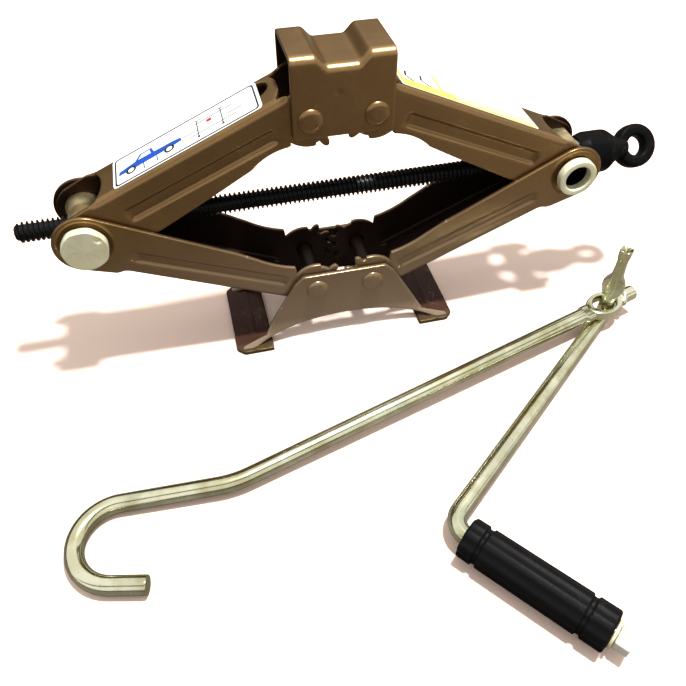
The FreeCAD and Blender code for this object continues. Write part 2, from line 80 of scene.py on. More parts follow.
pivot = {joint["name"]: np.array(joint["pos_m"]) for joint in frame["joints"] if "pos_m" in joint}
axis_of = {joint["name"]: np.array(joint["axis"]) for joint in frame["joints"] if "axis" in joint}
pin_x = abs(pivot["lower_left_pivot"][0])
pin_z = pivot["lower_left_pivot"][2]
rim = 0.7 * mm


def piece(name, points, faces, material, marks=None, sharp=40):
    """A mesh object with doubled points merged and its faces turned outwards."""
    mesh = bpy.data.meshes.new(name)
    mesh.from_pydata(np.asarray(points).tolist(), [], faces)
    for mark, values in (marks or {}).items():
        kind = "FLOAT" if values.ndim == 1 else "FLOAT_VECTOR"
        field = mesh.attributes.new(mark, kind, "POINT")
        field.data.foreach_set("value" if values.ndim == 1 else "vector", values.ravel())
    tidy(mesh)
    mesh.shade_smooth()
    mesh.set_sharp_from_angle(angle=np.radians(sharp))
    mesh.materials.append(material)
    return placed(name, mesh)


def tidy(mesh):
    """Merge the doubled points of seams and poles, then point every face outwards."""
    work = bmesh.new()
    work.from_mesh(mesh)
    bmesh.ops.remove_doubles(work, verts=work.verts, dist=0.002 * mm)
    bmesh.ops.recalc_face_normals(work, faces=work.faces)
    work.to_mesh(mesh)
    work.free()


def distance_to(corners):
    """Signed distance to a straight-sided outline, less than zero inside it.

    The distance is the least one to any side. A point is inside if a line from it crosses an odd
    number of sides."""
    start = np.array(corners, float) * mm
    end = np.roll(start, -1, axis=0)

    def distance(x, z):
        nearest = np.full(x.shape, np.inf)
        inside = np.zeros(x.shape, bool)
        for (ax, az), (bx, bz) in zip(start, end):
            along = ((x - ax) * (bx - ax) + (z - az) * (bz - az)) / ((bx - ax) ** 2 + (bz - az) ** 2)
            along = np.clip(along, 0, 1)
            nearest = np.minimum(nearest, np.hypot(x - ax - along * (bx - ax), z - az - along * (bz - az)))
            crosses = (az > z) != (bz > z)
            inside ^= crosses & (x < ax + (z - az) * (bx - ax) / (bz - az if bz != az else 1))
        return np.where(inside, -nearest, nearest)

    return distance


def unit(vector):
    """A vector at length 1."""
    return vector / np.linalg.norm(vector)


def unit_rows(vectors):
    """Each row of a list of vectors at length 1."""
    return vectors / np.linalg.norm(vectors, axis=1, keepdims=True)


def squarish(wave, power):
    """A sine or cosine drawn towards a square wave. At power 1 it stays round."""
    return np.sign(wave) * np.abs(wave) ** power


def arc_through(first, middle, last, count):
    """Points along the circle through three points, from the first to the last."""
    (ax, ay), (bx, by), (cx, cy) = first, middle, last
    twice_area = 2 * (ax * (by - cy) + bx * (cy - ay) + cx * (ay - by))
    squares = np.array([ax * ax + ay * ay, bx * bx + by * by, cx * cx + cy * cy])
    centre_x = squares @ np.array([by - cy, cy - ay, ay - by]) / twice_area
    centre_y = squares @ np.array([cx - bx, ax - cx, bx - ax]) / twice_area
    radius = np.hypot(ax - centre_x, ay - centre_y)
    turns = np.unwrap([np.arctan2(y - centre_y, x - centre_x) for x, y in (first, middle, last)])
    swept = np.linspace(turns[0], turns[2], count)
    return [(centre_x + radius * np.cos(a), centre_y + radius * np.sin(a)) for a in swept]


def pressing(name, spans, outline, place, thickness, material, cell=1.0 * mm):
    """A pressed sheet: a flat grid (x, v) cut to an outline, then carried to its place.

    Cells whose middle is inside the outline are kept, and the points along their edge slide down
    the distance's slope onto it. The grid is laid twice, half a thickness out and half in, and
    six rows of points join the two along a rounded rim."""
    x_line, v_line = [np.arange(low, high + cell, cell) for low, high in spans]
    x, v = np.meshgrid(x_line, v_line, indexing="ij")
    middle_x = (x[1:, 1:] + x[:-1, :-1]) / 2
    middle_v = (v[1:, 1:] + v[:-1, :-1]) / 2
    kept = outline(middle_x, middle_v) < -rim
    touching = np.zeros(x.shape, int)
    for i in (0, 1):
        for j in (0, 1):
            touching[i:i + kept.shape[0], j:j + kept.shape[1]] += kept
    used = touching > 0
    edge = (used & (touching < 4))[used]
    flat = np.stack([x[used], v[used]], axis=1)
    step = 0.05 * mm

    def slope(points):
        run = outline(points[:, 0] + step, points[:, 1]) - outline(points[:, 0] - step, points[:, 1])
        rise = outline(points[:, 0], points[:, 1] + step) - outline(points[:, 0], points[:, 1] - step)
        way = np.stack([run, rise], axis=1)
        return way / np.maximum(np.linalg.norm(way, axis=1, keepdims=True), 1e-9)

    border = flat[edge]
    for _ in range(4):
        short = outline(border[:, 0], border[:, 1])[:, None] + rim
        border = border - np.clip(short, -cell / 2, cell / 2) * slope(border)
    flat[edge] = border
    outward = slope(border)

    half = thickness / 2
    bend = np.radians([30, 60, 90])
    reach = rim * np.concatenate([np.sin(bend), np.sin(bend)[::-1]])
    height = half - rim * (1 - np.cos(bend))
    height = np.concatenate([height, -height[::-1]])
    rings = [np.column_stack([border + outward * out, np.full(len(border), up)])
             for out, up in zip(reach, height)]
    outer = np.column_stack([flat, np.full(len(flat), half)])
    inner = np.column_stack([flat, np.full(len(flat), -half)])
    sheet = np.concatenate([outer, inner] + rings)
    depth = outline(sheet[:, 0], sheet[:, 1])
    # inside is 1 on the inner face of the sheet; bronze_paint darkens that face to near black as painted
    # shade
    marks = {"rim": np.clip(1 + depth / (2.5 * mm), 0, 1), "inside": 0.5 - sheet[:, 2] / thickness}

    number = np.full(x.shape, -1)
    number[used] = np.arange(used.sum())
    i, j = np.nonzero(kept)
    square = [number[i, j], number[i, j + 1], number[i + 1, j + 1], number[i + 1, j]]
    outer_faces = np.stack(square, axis=1)
    inner_faces = outer_faces[:, ::-1] + len(flat)
    open_side = np.pad(~kept, 1, constant_values=True)
    beside = [open_side[:-2, 1:-1], open_side[1:-1, 2:], open_side[2:, 1:-1], open_side[1:-1, :-2]]
    ring_of = np.full(len(flat), -1)
    ring_of[edge] = np.arange(edge.sum())
    walls = []
    for side, is_open in enumerate(beside):
        at = is_open[i, j]
        a, b = square[side][at], square[(side + 1) % 4][at]
        ladder_a, ladder_b = [a], [b]
        for ring in range(len(rings)):
            first = 2 * len(flat) + ring * len(border)
            ladder_a.append(first + ring_of[a])
            ladder_b.append(first + ring_of[b])
        ladder_a.append(a + len(flat))
        ladder_b.append(b + len(flat))
        for k in range(len(ladder_a) - 1):
            walls.append(np.stack([ladder_b[k], ladder_a[k], ladder_a[k + 1], ladder_b[k + 1]], axis=1))
    faces = np.concatenate([outer_faces, inner_faces] + walls).tolist()
    return piece(name, place(sheet[:, 0], sheet[:, 1], sheet[:, 2]), faces, material, marks)


def material(name):
    """A new node material, with its tree, its shader and the place on the piece."""
    made = bpy.data.materials.new(name)
    made.use_nodes = True
    tree = made.node_tree
    return made, tree, tree.nodes["Principled BSDF"], node(tree, "TexCoord").outputs["Object"]


def node(tree, kind, inputs=None, **settings):
    """Add a shader node, set it up, and link or set its inputs."""
    made = tree.nodes.new("ShaderNode" + kind)
    for key, value in settings.items():
        setattr(made, key, value)
    feed(tree, made, inputs or {})
    return made


def feed(tree, made, inputs):
    """Link each of a node's inputs to a socket, or set its value."""
    for key, value in inputs.items():
        if isinstance(value, bpy.types.NodeSocket):
            tree.links.new(value, made.inputs[key])
        else:
            made.inputs[key].default_value = value


def maths(tree, operation, first, second=0.5, third=0.5):
    """One arithmetic node's result."""
    return node(tree, "Math", {0: first, 1: second, 2: third}, operation=operation).outputs[0]


def times(tree, first, second):
    """The product of two values."""
    return maths(tree, "MULTIPLY", first, second)


def scaled(tree, value, factor, base):
    """A value times a factor, on top of a base."""
    return maths(tree, "MULTIPLY_ADD", value, factor, base)


def rest_of(tree, share):
    """What a share leaves of 1."""
    return maths(tree, "SUBTRACT", 1.0, share)


def blend_colour(tree, amount, first, second):
    """The colour between two colours, by an amount from 0 to 1."""
    return node(tree, "Mix", {0: amount, 6: first, 7: second}, data_type="RGBA").outputs[2]


def ramp(tree, value, low, high):
    """A value stretched so that low becomes 0 and high becomes 1."""
    return node(tree, "MapRange", {0: value, 1: low, 2: high}, clamp=True).outputs[0]


def rgb(red, green, blue):
    """An opaque colour."""
    return (red, green, blue, 1.0)


def bumpy(tree, shader, height, strength, distance):
    """Feed a height to the shader's normal."""
    bump = node(tree, "Bump", {"Height": height, "Strength": strength, "Distance": distance})
    feed(tree, shader, {"Normal": bump.outputs[0]})


def make_surface_marks():
    """A node group of four masks: slow drift of tone, fine grain, hair scratches and specks.

    Sizes are in metres, so the same values look the same on every piece."""
    group = bpy.data.node_groups.new("surface_marks", "ShaderNodeTree")
    face = group.interface
    face.new_socket("Vector", in_out="INPUT", socket_type="NodeSocketVector")
    for name, value in (("Drift size", 0.03), ("Grain size", 0.001), ("Scratches", 0.5)):
        face.new_socket(name, in_out="INPUT", socket_type="NodeSocketFloat").default_value = value
    for name in ("Drift", "Grain", "Scratch", "Speck"):
        face.new_socket(name, in_out="OUTPUT", socket_type="NodeSocketFloat")
    source = group.nodes.new("NodeGroupInput").outputs
    result = group.nodes.new("NodeGroupOutput")
    drift_scale = maths(group, "DIVIDE", 1.0, source["Drift size"])
    drift = node(group, "TexNoise", {"Vector": source["Vector"], "Scale": drift_scale, "Detail": 3.0})
    grain_scale = maths(group, "DIVIDE", 1.0, source["Grain size"])
    grain = node(group, "TexNoise", {"Vector": source["Vector"], "Scale": grain_scale, "Detail": 2.0})
    bent = node(group, "VectorMath", {0: source["Vector"], 1: (0.9, 0.35, 0.6)}, operation="MULTIPLY")
    hairs = node(group, "TexNoise", {"Vector": bent.outputs[0], "Scale": 55.0, "Detail": 5.0,
                                     "Roughness": 0.62, "Distortion": 1.4})
    off_middle = maths(group, "ABSOLUTE", maths(group, "SUBTRACT", hairs.outputs[0], 0.5))
    thin = times(group, source["Scratches"], 0.012)
    line = rest_of(group, ramp(group, off_middle, 0.0, thin))
    some = ramp(group, drift.outputs[0], 0.5, 0.62)
    specks = node(group, "TexVoronoi", {"Vector": source["Vector"], "Scale": 260.0})
    speck = rest_of(group, ramp(group, specks.outputs[0], 0.05, 0.16))
    feed(group, result, {"Drift": drift.outputs[0], "Grain": grain.outputs[0],
                         "Scratch": times(group, line, some), "Speck": speck})
    return group


surface_marks = make_surface_marks()


def marks_on(tree, vector, drift_size, grain_size, scratches):
    """The masks of the surface_marks group at the given sizes."""
    made = node(tree, "Group", node_tree=surface_marks)
    feed(tree, made, {"Vector": vector, "Drift size": drift_size, "Grain size": grain_size,
                      "Scratches": scratches})
    return made.outputs


def bronze_paint():
    """Glossy metallic brown enamel: orange peel, worn rims, and painted shade on the inner faces, which are
    darkened to near black.

    Towards the floor the brown turns paler, greyer and less metallic."""
    made, tree, shader, place = material("bronze_paint")
    marks = marks_on(tree, place, 0.035, 0.0016, 0.5)
    on_rim = node(tree, "Attribute", attribute_name="rim").outputs["Fac"]
    within = node(tree, "Attribute", attribute_name="inside").outputs["Fac"]
    height = node(tree, "SeparateXYZ", {0: place}).outputs[2]
    colour = blend_colour(tree, marks["Drift"], rgb(0.19, 0.110, 0.042), rgb(0.26, 0.155, 0.062))
    # the brown turns paler, greyer and less metallic towards the floor
    low_greying = times(tree, ramp(tree, height, greying_top, 0.0), 0.6)
    colour = blend_colour(tree, low_greying, colour, rgb(0.31, 0.255, 0.20))
    colour = blend_colour(tree, times(tree, marks["Scratch"], 0.16), colour,
                          rgb(0.55, 0.42, 0.26))
    # painted shade: the inner faces are blended to near black, made rougher and given less coat
    painted_shade = times(tree, ramp(tree, within, 0.45, 0.85), 0.97)
    colour = blend_colour(tree, painted_shade, colour, rgb(0.016, 0.006, 0.003))
    chips = node(tree, "TexNoise", {"Vector": place, "Scale": 190.0, "Detail": 4.0, "Roughness": 0.7})
    reach = scaled(tree, on_rim, 0.30, chips.outputs[0])
    worn = times(tree, ramp(tree, reach, 0.95, 0.98), ramp(tree, on_rim, 0.45, 0.8))
    colour = blend_colour(tree, worn, colour, rgb(0.52, 0.45, 0.34))
    rough = scaled(tree, marks["Drift"], 0.14, 0.24)
    feed(tree, shader, {"Base Color": colour, "Roughness": scaled(tree, painted_shade, 0.22, rough),
                        "Metallic": scaled(tree, low_greying, -0.5, 0.85),
                        "Coat Weight": scaled(tree, painted_shade, -0.10, 0.11), "Coat Roughness": 0.16})
    waves = node(tree, "TexNoise", {"Vector": place, "Scale": 70.0, "Detail": 1.0})
    relief = scaled(tree, waves.outputs[0], 3.0, marks["Grain"])
    relief = scaled(tree, worn, -0.6, relief)
    bumpy(tree, shader, relief, 0.25, 0.00025)
    return made


greying_top = 110 * mm
paint = bronze_paint()


def foot_paint():
    """The same enamel, painted dark red as the shadow of the arms and a reflection of their dark
    undersides, but for the lit front end of each strip.
    """
    made, tree, shader, place = material("foot_paint")
    marks = marks_on(tree, place, 0.025, 0.0016, 0.6)
    forward = node(tree, "SeparateXYZ", {0: place}).outputs[1]
    # painted shadow and reflection: the dark red covers each strip except its lit front end, which keeps an
    # olive colour
    lit_front = ramp(tree, scaled(tree, marks["Drift"], 0.006, forward), -24.5 * mm, -26.5 * mm)
    colour = blend_colour(tree, marks["Drift"], rgb(0.024, 0.008, 0.005), rgb(0.060, 0.024, 0.015))
    colour = blend_colour(tree, lit_front, colour, rgb(0.085, 0.055, 0.026))
    colour = blend_colour(tree, times(tree, marks["Scratch"], 0.3), colour, rgb(0.45, 0.36, 0.25))
    feed(tree, shader, {"Base Color": colour, "Roughness": scaled(tree, marks["Grain"], 0.2, 0.3),
                        "Metallic": times(tree, lit_front, 0.6), "Specular IOR Level": 0.12})
    bumpy(tree, shader, marks["Grain"], 0.3, 0.0002)
    return made


base_sheet = 3.5 * mm
rivet_stands = 2.6 * mm
base_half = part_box("base_rivets")[1].y - rivet_stands
skirt_from = 18 * mm
skirt_reach = 9 * mm
arch = arc_through((70, 0), (0, 16), (-70, 0), 25)
slant = [(29, 54), (35, 48), (58, 8), (76, 3), (76, 0)]
side_outline = distance_to([(-x, z) for x, z in slant[::-1]] + slant + arch)


def side_of_base(facing):
    """One side: upright above, and below that its slant grows with the square of the drop."""
    def place(x, z, h):
        drop = np.clip(1 - z / skirt_from, 0, None)
        y = base_half - base_sheet / 2 + skirt_reach * drop ** 2
        lean = 2 * skirt_reach * drop / skirt_from
        steep = np.hypot(1, lean)
        return np.column_stack([x, facing * (y + h / steep), np.maximum(z + h * lean / steep, 0.05 * mm)])
    return place


for word, facing in (("front", -1), ("back", 1)):
    side = pressing("base_" + word, ((-78 * mm, 78 * mm), (-2 * mm, 56 * mm)), side_outline,
                    side_of_base(facing), base_sheet, paint)
    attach(side, "base")
    if facing < 0:
        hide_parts("base")

shaded_foot = foot_paint()
foot_outline = distance_to([(54, -36), (75, -36), (80, -31), (80, 31), (75, 36), (54, 36)])


def foot_strip(facing):
    """A flat strip with a low ridge pressed along it."""
    def place(x, y, h):
        ridge = 0.7 * mm * np.exp(-((x - 66 * mm) / (1.6 * mm)) ** 2)
        return np.column_stack([facing * x, y, 1.5 * mm + h + ridge * (h > 0)])
    return place


for word, facing in (("left", -1), ("right", 1)):
    foot = pressing("base_foot_" + word, ((52 * mm, 82 * mm), (-38 * mm, 38 * mm)), foot_outline,
                    foot_strip(facing), 3 * mm, shaded_foot)
    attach(foot, "base")


# ------------------------------------------------------------------ rivets
# Solid steel rivets, painted over with the frame. Each has a low flat dome upset on both ends.

def turned(name, profile, centre, axis, material, columns=72, marks=None, shape=None):
    """A surface of revolution: each profile point is carried round the axis.

    A point at turn t is centre + s·axis + r·(cos t·u + sin t·w), for the profile's s and r.
    shape may change s and r with the turn."""
    axis = unit(np.array(axis, float))
    helper = np.array((0, 0, 1.0)) if abs(axis[2]) < 0.9 else np.array((1.0, 0, 0))
    u = unit(np.cross(helper, axis))
    w = np.cross(axis, u)
    s, r = [line[:, None] for line in np.array(profile, float).T]
    t = np.linspace(0, 2 * np.pi, columns + 1)[None, :]
    s, r = s + 0 * t, r + 0 * t
    if shape:
        s, r = shape(s, r, t)
    points = (np.array(centre) + s[..., None] * axis
              + r[..., None] * (np.cos(t)[..., None] * u + np.sin(t)[..., None] * w))
    return skin(name, points, material, np.stack([r * np.cos(t), r * np.sin(t), s], axis=-1), marks)


def skin(name, points, material, wrap, marks=None, sharp=40):
    """The faces of a grid of points (rows, columns, 3), with the place on the surface as `wrap`."""
    rows, columns = points.shape[:2]
    corner = np.arange(rows * columns).reshape(rows, columns)
    faces = np.stack([corner[:-1, :-1], corner[:-1, 1:], corner[1:, 1:], corner[1:, :-1]], axis=-1)
    marks = dict(marks or {}, wrap=wrap.reshape(-1, 3))
    return piece(name, points.reshape(-1, 3), faces.reshape(-1, 4).tolist(), material, marks, sharp)


def rounded(profile, radius, steps=5):
    """A profile whose corners become short curves, each from before its corner to after it."""
    points = np.array(profile, float)
    smooth = [points[0]]
    for before, corner, after in zip(points[:-2], points[1:-1], points[2:]):
        back, forth = before - corner, after - corner
        cut = min(radius, np.linalg.norm(back) / 2.01, np.linalg.norm(forth) / 2.01)
        first = corner + back / max(np.linalg.norm(back), 1e-9) * cut
        last = corner + forth / max(np.linalg.norm(forth), 1e-9) * cut
        for k in np.linspace(0, 1, steps):
            smooth.append((1 - k) ** 2 * first + 2 * k * (1 - k) * corner + k ** 2 * last)
    return smooth + [points[-1]]


def rivets(name, body, x_values, z, grip_half):
    """Rivets across the frame, as one piece: a shank between two low domes with a flat top."""
    head = [(-2.5, 0), (-2.5, 3.6), (-2.1, 5.6), (-1.2, 7.0), (-0.4, 7.5), (0.1, 7.5), (0.1, 5)]
    head = [(s * mm - grip_half, r * mm) for s, r in head]
    profile = np.array(rounded(head + [(-s, r) for s, r in head[::-1]], 0.8 * mm))
    buried = np.repeat((np.abs(profile[:, 0]) < grip_half - 0.5 * mm).astype(float), 73)
    made = []
    for x in x_values:
        made.append(turned(name, profile, (x, 0, z), (0, 1, 0), paint, marks={"inside": buried}))
    first, second = made
    joined = join(first, second)
    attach(joined, body)
    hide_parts(name)


def join(first, *others):
    """Put the meshes of several pieces into the first one."""
    work = bmesh.new()
    for made in (first,) + others:
        work.from_mesh(made.data)
    work.to_mesh(first.data)
    work.free()
    first.name = first.name.split(".")[0]
    for other in others:
        bpy.data.objects.remove(other)
    return first


rivets("base_rivets", "base", (-pin_x, pin_x), pin_z, base_half)


# ------------------------------------------------------------------ lower arms
# Two deep channels folded from 3 mm sheet, open side up. Each has a round hub with gear teeth at
# the base, a round eye at the screw, and a long bead pressed in both sides to stiffen them.

arm_length = 152 * mm
sheet = 3 * mm
outer_bend = 5 * mm
bend = outer_bend - sheet / 2
quarter = bend * np.pi / 2
lower_half = 22.3 * mm
upper_half = 19.0 * mm
hub_r = 18
hub_hole = 5.3
eye_hole = 12.3
pitch_r = 19.5
root_r = 16.2
tip_r = 21.6
teeth_from = 78
teeth_to = 216
rest_slope = 24


def round_hole(x, z, centre, radius):
    """Signed distance to a circle, less than zero inside it."""
    return np.hypot(x - centre[0] * mm, z - centre[1] * mm) - radius * mm


def folded(v, h, half, fold):
    """The section of a folded channel, as y and the height above the outer face of its web.

    v runs along the middle of the sheet from the centre line: flat to the bend, round a quarter
    circle, then straight up. h is the height off the sheet. Where fold is 0 the sides stay flat
    all the way down."""
    flat = half - outer_bend
    reach = np.abs(v)
    turn = np.clip((reach - flat) / bend, 0, np.pi / 2)
    rise = np.maximum(reach - flat - quarter, 0)
    y = np.minimum(reach, flat) + (bend + h) * np.sin(turn)
    z = outer_bend - (bend + h) * np.cos(turn) + rise
    straight_y = half - sheet / 2 + h
    straight_z = outer_bend + reach - flat - quarter
    return np.sign(v) * (fold * y + (1 - fold) * straight_y), fold * z + (1 - fold) * straight_z


def smooth_step(value, low, high):
    """Rises from 0 at low to 1 at high along a cubic with level ends."""
    k = np.clip((value - low) / (high - low), 0, 1)
    return k * k * (3 - 2 * k)


def tooth(angle):
    """One gear tooth's outline, narrowing from its root to its tip."""
    half_widths = (3.0, 2.2, 0.9)
    radii = (root_r - 1.5, pitch_r, tip_r)
    sides = list(zip(radii, half_widths)) + [(r, -w) for r, w in zip(radii[::-1], half_widths[::-1])]
    c, s = np.cos(np.radians(angle)), np.sin(np.radians(angle))
    return distance_to([(r * c - w * s, r * s + w * c) for r, w in sides])


def gear_teeth(first):
    """The teeth of one side from the first angle on, twelve to the full circle."""
    return [tooth(angle) for angle in np.arange(first, teeth_to - 10, 30)]


def arm_outline(half, web_z, web_span, body, eye_r, window):
    """The blank of an arm in x and v: both sides with hub, teeth and eye, and the web between."""
    body = distance_to(body)
    meshing = 180 - rest_slope
    teeth = {-1: gear_teeth(meshing - 60), 1: gear_teeth(meshing - 45)}
    fold_v = half - outer_bend + quarter

    def outline(x, v):
        z = web_z * mm + outer_bend + np.abs(v) - fold_v
        angle = np.degrees(np.arctan2(z, x)) % 360
        in_gear = (angle > teeth_from) & (angle < teeth_to)
        hub = round_hole(x, z, (0, 0), np.where(in_gear, root_r, hub_r))
        for way, set_of_teeth in teeth.items():
            for one in set_of_teeth:
                hub = np.where(np.sign(v) == way, np.minimum(hub, one(x, z)), hub)
        side = np.minimum(np.minimum(body(x, z), hub), round_hole(x, z, (152, 0), eye_r))
        side = np.maximum(side, -round_hole(x, z, (0, 0), hub_hole))
        side = np.maximum(side, -round_hole(x, z, (152, 0), eye_hole))
        across = np.abs(v) - fold_v - 1 * mm
        notch = (web_span[0] + 3 * np.exp(-((np.abs(v) / mm - half / mm + 5) / 5) ** 2)) * mm - x
        web = np.maximum(np.maximum(notch, x - web_span[1] * mm - 8 * mm), across)
        web = np.maximum(web, -round_hole(x, v, (web_span[1] + 21, 0), 26))
        if window:
            web = np.maximum(web, -round_hole(x, v, window[:2], window[2]))
        return np.minimum(side, web)

    return outline


def along_arm(hub, eye):
    """The arm's own axes at rest, from the pin in its hub and the trunnion in its eye."""
    run = unit(eye - hub)
    up = np.array([0, 0, 1.0 if run[2] > 0 else -1.0])
    open_side = unit(up - run * (up @ run))
    return run, np.cross(open_side, run), open_side


def set_on(hub, axes, x, y, z):
    """Carry a place in an arm's own axes to where the arm stands."""
    run, across, open_side = axes
    return hub + x[:, None] * run + y[:, None] * across + z[:, None] * open_side


def arm_place(hub, eye, half, web_z, web_span, relief):
    """Fold the blank, press its beads and dishes, and stand it between its two pins."""
    axes = along_arm(hub, eye)
    fold_v = half - outer_bend + quarter

    def place(x, v, h):
        z = web_z * mm + outer_bend + np.abs(v) - fold_v
        start, end = web_span[0] * mm, web_span[1] * mm
        fold = smooth_step(x, start - 6 * mm, start + 1 * mm)
        fold = fold * (1 - smooth_step(x, end - 3 * mm, end + 7 * mm))
        pressed = h - relief(x, z, v, h)
        y, height = folded(v, pressed, half, fold)
        return set_on(hub, axes, x, y, web_z * mm + height)

    return place


def bead(x, z, start, end, half_width, depth):
    """A flat-bottomed groove along a straight line, fading out at both ends."""
    (x0, z0), (x1, z1) = start, end
    k = (x / mm - x0) / (x1 - x0)
    off = np.abs(z / mm - z0 - (z1 - z0) * k) / half_width
    level = 1 - smooth_step(off, 0.45, 1.0)
    fade = smooth_step(x / mm, x0 - 2, x0 + 4) * (1 - smooth_step(x / mm, x1 - 4, x1 + 2))
    return depth * mm * level * fade


def lower_relief(x, z, v, h):
    """A bead along each side and a dish round the eye, pressed into the outer face only."""
    groove = bead(x, z, (21, -0.8), (124, -2.5), 4.4, 1.7)
    from_eye = np.hypot(x - arm_length, z) / mm
    dish = 1.5 * mm * (1 - smooth_step(from_eye, 14.6, 16.4))
    return (groove + dish) * np.clip(0.5 + h / sheet, 0, 1)


def arm_shell(name, hub, half, web_z, web_span, body, eye_r, window, relief, reach):
    """One arm: its blank is cut, folded and pressed, and stands between its hub and its eye.

    reach is how far the flat blank goes along the arm and to each side."""
    eye = pivot["nut_pivot"] * (-np.sign(hub[0]), 1, 1)
    outline = arm_outline(half, web_z, web_span, body, eye_r, window)
    place = arm_place(hub, eye, half, web_z, web_span, relief)
    blank = ((-24 * mm, reach[0] * mm), (-reach[1] * mm, reach[1] * mm))
    arm = pressing(name + "_shell", blank, outline, place, sheet, paint)
    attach(arm, name)
    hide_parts(name)


lower_body = ([(4, -16), (118, -16), (152, -19), (152, 19), (62, 13.8)]
              + arc_through((47, 11.8), (33, 10.4), (20, 11.6), 9))
for word, facing in (("left", -1), ("right", 1)):
    hub = np.array([facing * pin_x, 0, pin_z])
    arm_shell("lower_arm_" + word, hub, lower_half, -16, (16, 124), lower_body, 19, None, lower_relief,
              (173, 59))


# ------------------------------------------------------------------ upper arms
# The same channel 3 mm narrower and turned over, so that its sides nest between the lower arm's.
# Each web has a round window near the saddle, and ends in a hollow curve short of the trunnion.

upper_body = ([(4, -18), (132, -18), (152, -17), (152, 17), (111, 18), (71, 14.6)]
              + arc_through((44, 11.8), (30, 8.6), (17, 10.5), 9))


def upper_relief(x, z, v, h):
    """A wide bead along each side, pressed through the whole sheet."""
    return bead(x, z, (21, -0.3), (121, -0.6), 5.6, 2.6)


saddle_pin_z = pivot["saddle_pivot"][2]
for word, facing in (("left", -1), ("right", 1)):
    hub = np.array([facing * pin_x, 0, saddle_pin_z])
    arm_shell("upper_arm_" + word, hub, upper_half, -18, (8, 132), upper_body, 17, (21, 5, 7.5),
              upper_relief, (171, 56))


# ------------------------------------------------------------------ saddle
# A cap folded from 3 mm sheet over the upper arms' hubs. A channel pressed across its top takes
# the lip of a chassis rail, and leaves a raised pad on each side of it.

saddle_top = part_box("saddle")[1].z
saddle_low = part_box("saddle")[0].z
saddle_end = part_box("saddle")[1].x


def channel(x):
    """The dip across the middle of the cap: level for 20 mm, with a slope at each side."""
    return -6 * mm * (1 - smooth_step(np.abs(x), 8.5 * mm, 16.5 * mm))


def saddle_outline(x, v):
    """The blank of the cap: its width is its length, and its lower edges stay level."""
    skirt = saddle_top + channel(x) - outer_bend - saddle_low
    side = np.abs(v) - (lower_half - outer_bend + quarter) - skirt
    return np.maximum(np.abs(x) - saddle_end, side)


def saddle_place(x, v, h):
    """Fold the blank downwards from its web, which follows the channel."""
    stamp = 0.35 * mm * np.exp(-(((x + 3 * mm) / (2.2 * mm)) ** 2 + ((v + 33 * mm) / (1.6 * mm)) ** 2) ** 2)
    y, drop = folded(v, h - stamp * (h > 0), lower_half, 1.0)
    return np.column_stack([x, y, saddle_top + channel(x) - drop])


cap = pressing("saddle_cap", ((-32 * mm, 32 * mm), (-66 * mm, 66 * mm)), saddle_outline, saddle_place,
               sheet, paint, cell=0.9 * mm)
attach(cap, "saddle")
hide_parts("saddle")
rivets("saddle_rivets", "saddle", (-pin_x, pin_x), saddle_pin_z, lower_half)


# ------------------------------------------------------------------ trunnion heads
# Two zinc-plated cross bars join the arms at the screw. The left bar has a solid disc staked on
# its front end, and the right bar ends in a thick ring round the bar's open tube.

def zinc(name, colour_dull, colour_bright, rough, drawn, metal=1.0):
    """Yellow-passivated zinc: soft colour drift, specks, and fine lines along the drawn way."""
    made, tree, shader, place = material(name)
    marks = marks_on(tree, place, 0.018, 0.0009, 0.7)
    wrap = node(tree, "Attribute", attribute_name="wrap").outputs["Vector"]
    stretched = node(tree, "VectorMath", {0: wrap, 1: drawn}, operation="MULTIPLY").outputs[0]
    lines = node(tree, "TexNoise", {"Vector": stretched, "Scale": 1.0, "Detail": 3.0}).outputs[0]
    colour = blend_colour(tree, ramp(tree, marks["Drift"], 0.35, 0.65), colour_dull, colour_bright)
    film = node(tree, "TexNoise", {"Vector": place, "Scale": 34.0, "Detail": 2.0}).outputs[0]
    colour = blend_colour(tree, times(tree, ramp(tree, film, 0.52, 0.75), 0.4), colour,
                          rgb(0.42, 0.50, 0.40))
    colour = blend_colour(tree, times(tree, marks["Speck"], 0.35), colour,
                          rgb(0.20, 0.16, 0.09))
    grit = scaled(tree, lines, 0.14, rough - 0.07)
    feed(tree, shader, {"Base Color": colour, "Metallic": metal,
                        "Roughness": scaled(tree, marks["Scratch"], 0.15, grit)})
    bumpy(tree, shader, scaled(tree, marks["Grain"], 0.5, lines), 0.16, 0.00012)
    return made


turned_zinc = zinc("turned_zinc", rgb(0.74, 0.69, 0.43), rgb(0.90, 0.87, 0.64), 0.42, (160, 160, 900), 0.35)
head_low, head_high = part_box("nut_head")
head_r = (head_high.z - head_low.z) / 2
head_back = head_high.y
head_thick = head_high.y - head_low.y


def staked(s, r, t):
    """A punch mark near the rim, a faint ripple on the face, and a rim a little out of round."""
    off = np.hypot(r * np.cos(t) - notch_at[0], r * np.sin(t) - notch_at[1]) / (2.0 * mm)
    front = smooth_step(s, head_thick * 0.6, head_thick * 0.95)
    punch = 1.1 * mm * np.exp(-off ** 4) * front
    lump = 0.02 * mm * np.sin(9 * t) * np.sin(np.pi * r / head_r) * front
    return s - punch + lump, r * (1 - 0.012 * np.cos(7 * t + 1) * (r > 0.9 * head_r))


notch_at = (0.66 * head_r, 0.52 * head_r)
disc_centre = (-pivot["bearing_pivot"][0], head_back, pivot["nut_pivot"][2])
disc = [(0, 0), (0, head_r), (head_thick, head_r)]
disc += [(head_thick, k * head_r) for k in np.linspace(0.93, 0, 12)]
disc = turned("nut_head_disc", rounded(disc, 1.0 * mm), disc_centre, (0, -1, 0), turned_zinc, 96,
              shape=staked)
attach(disc, "nut_trunnion")
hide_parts("nut_head")

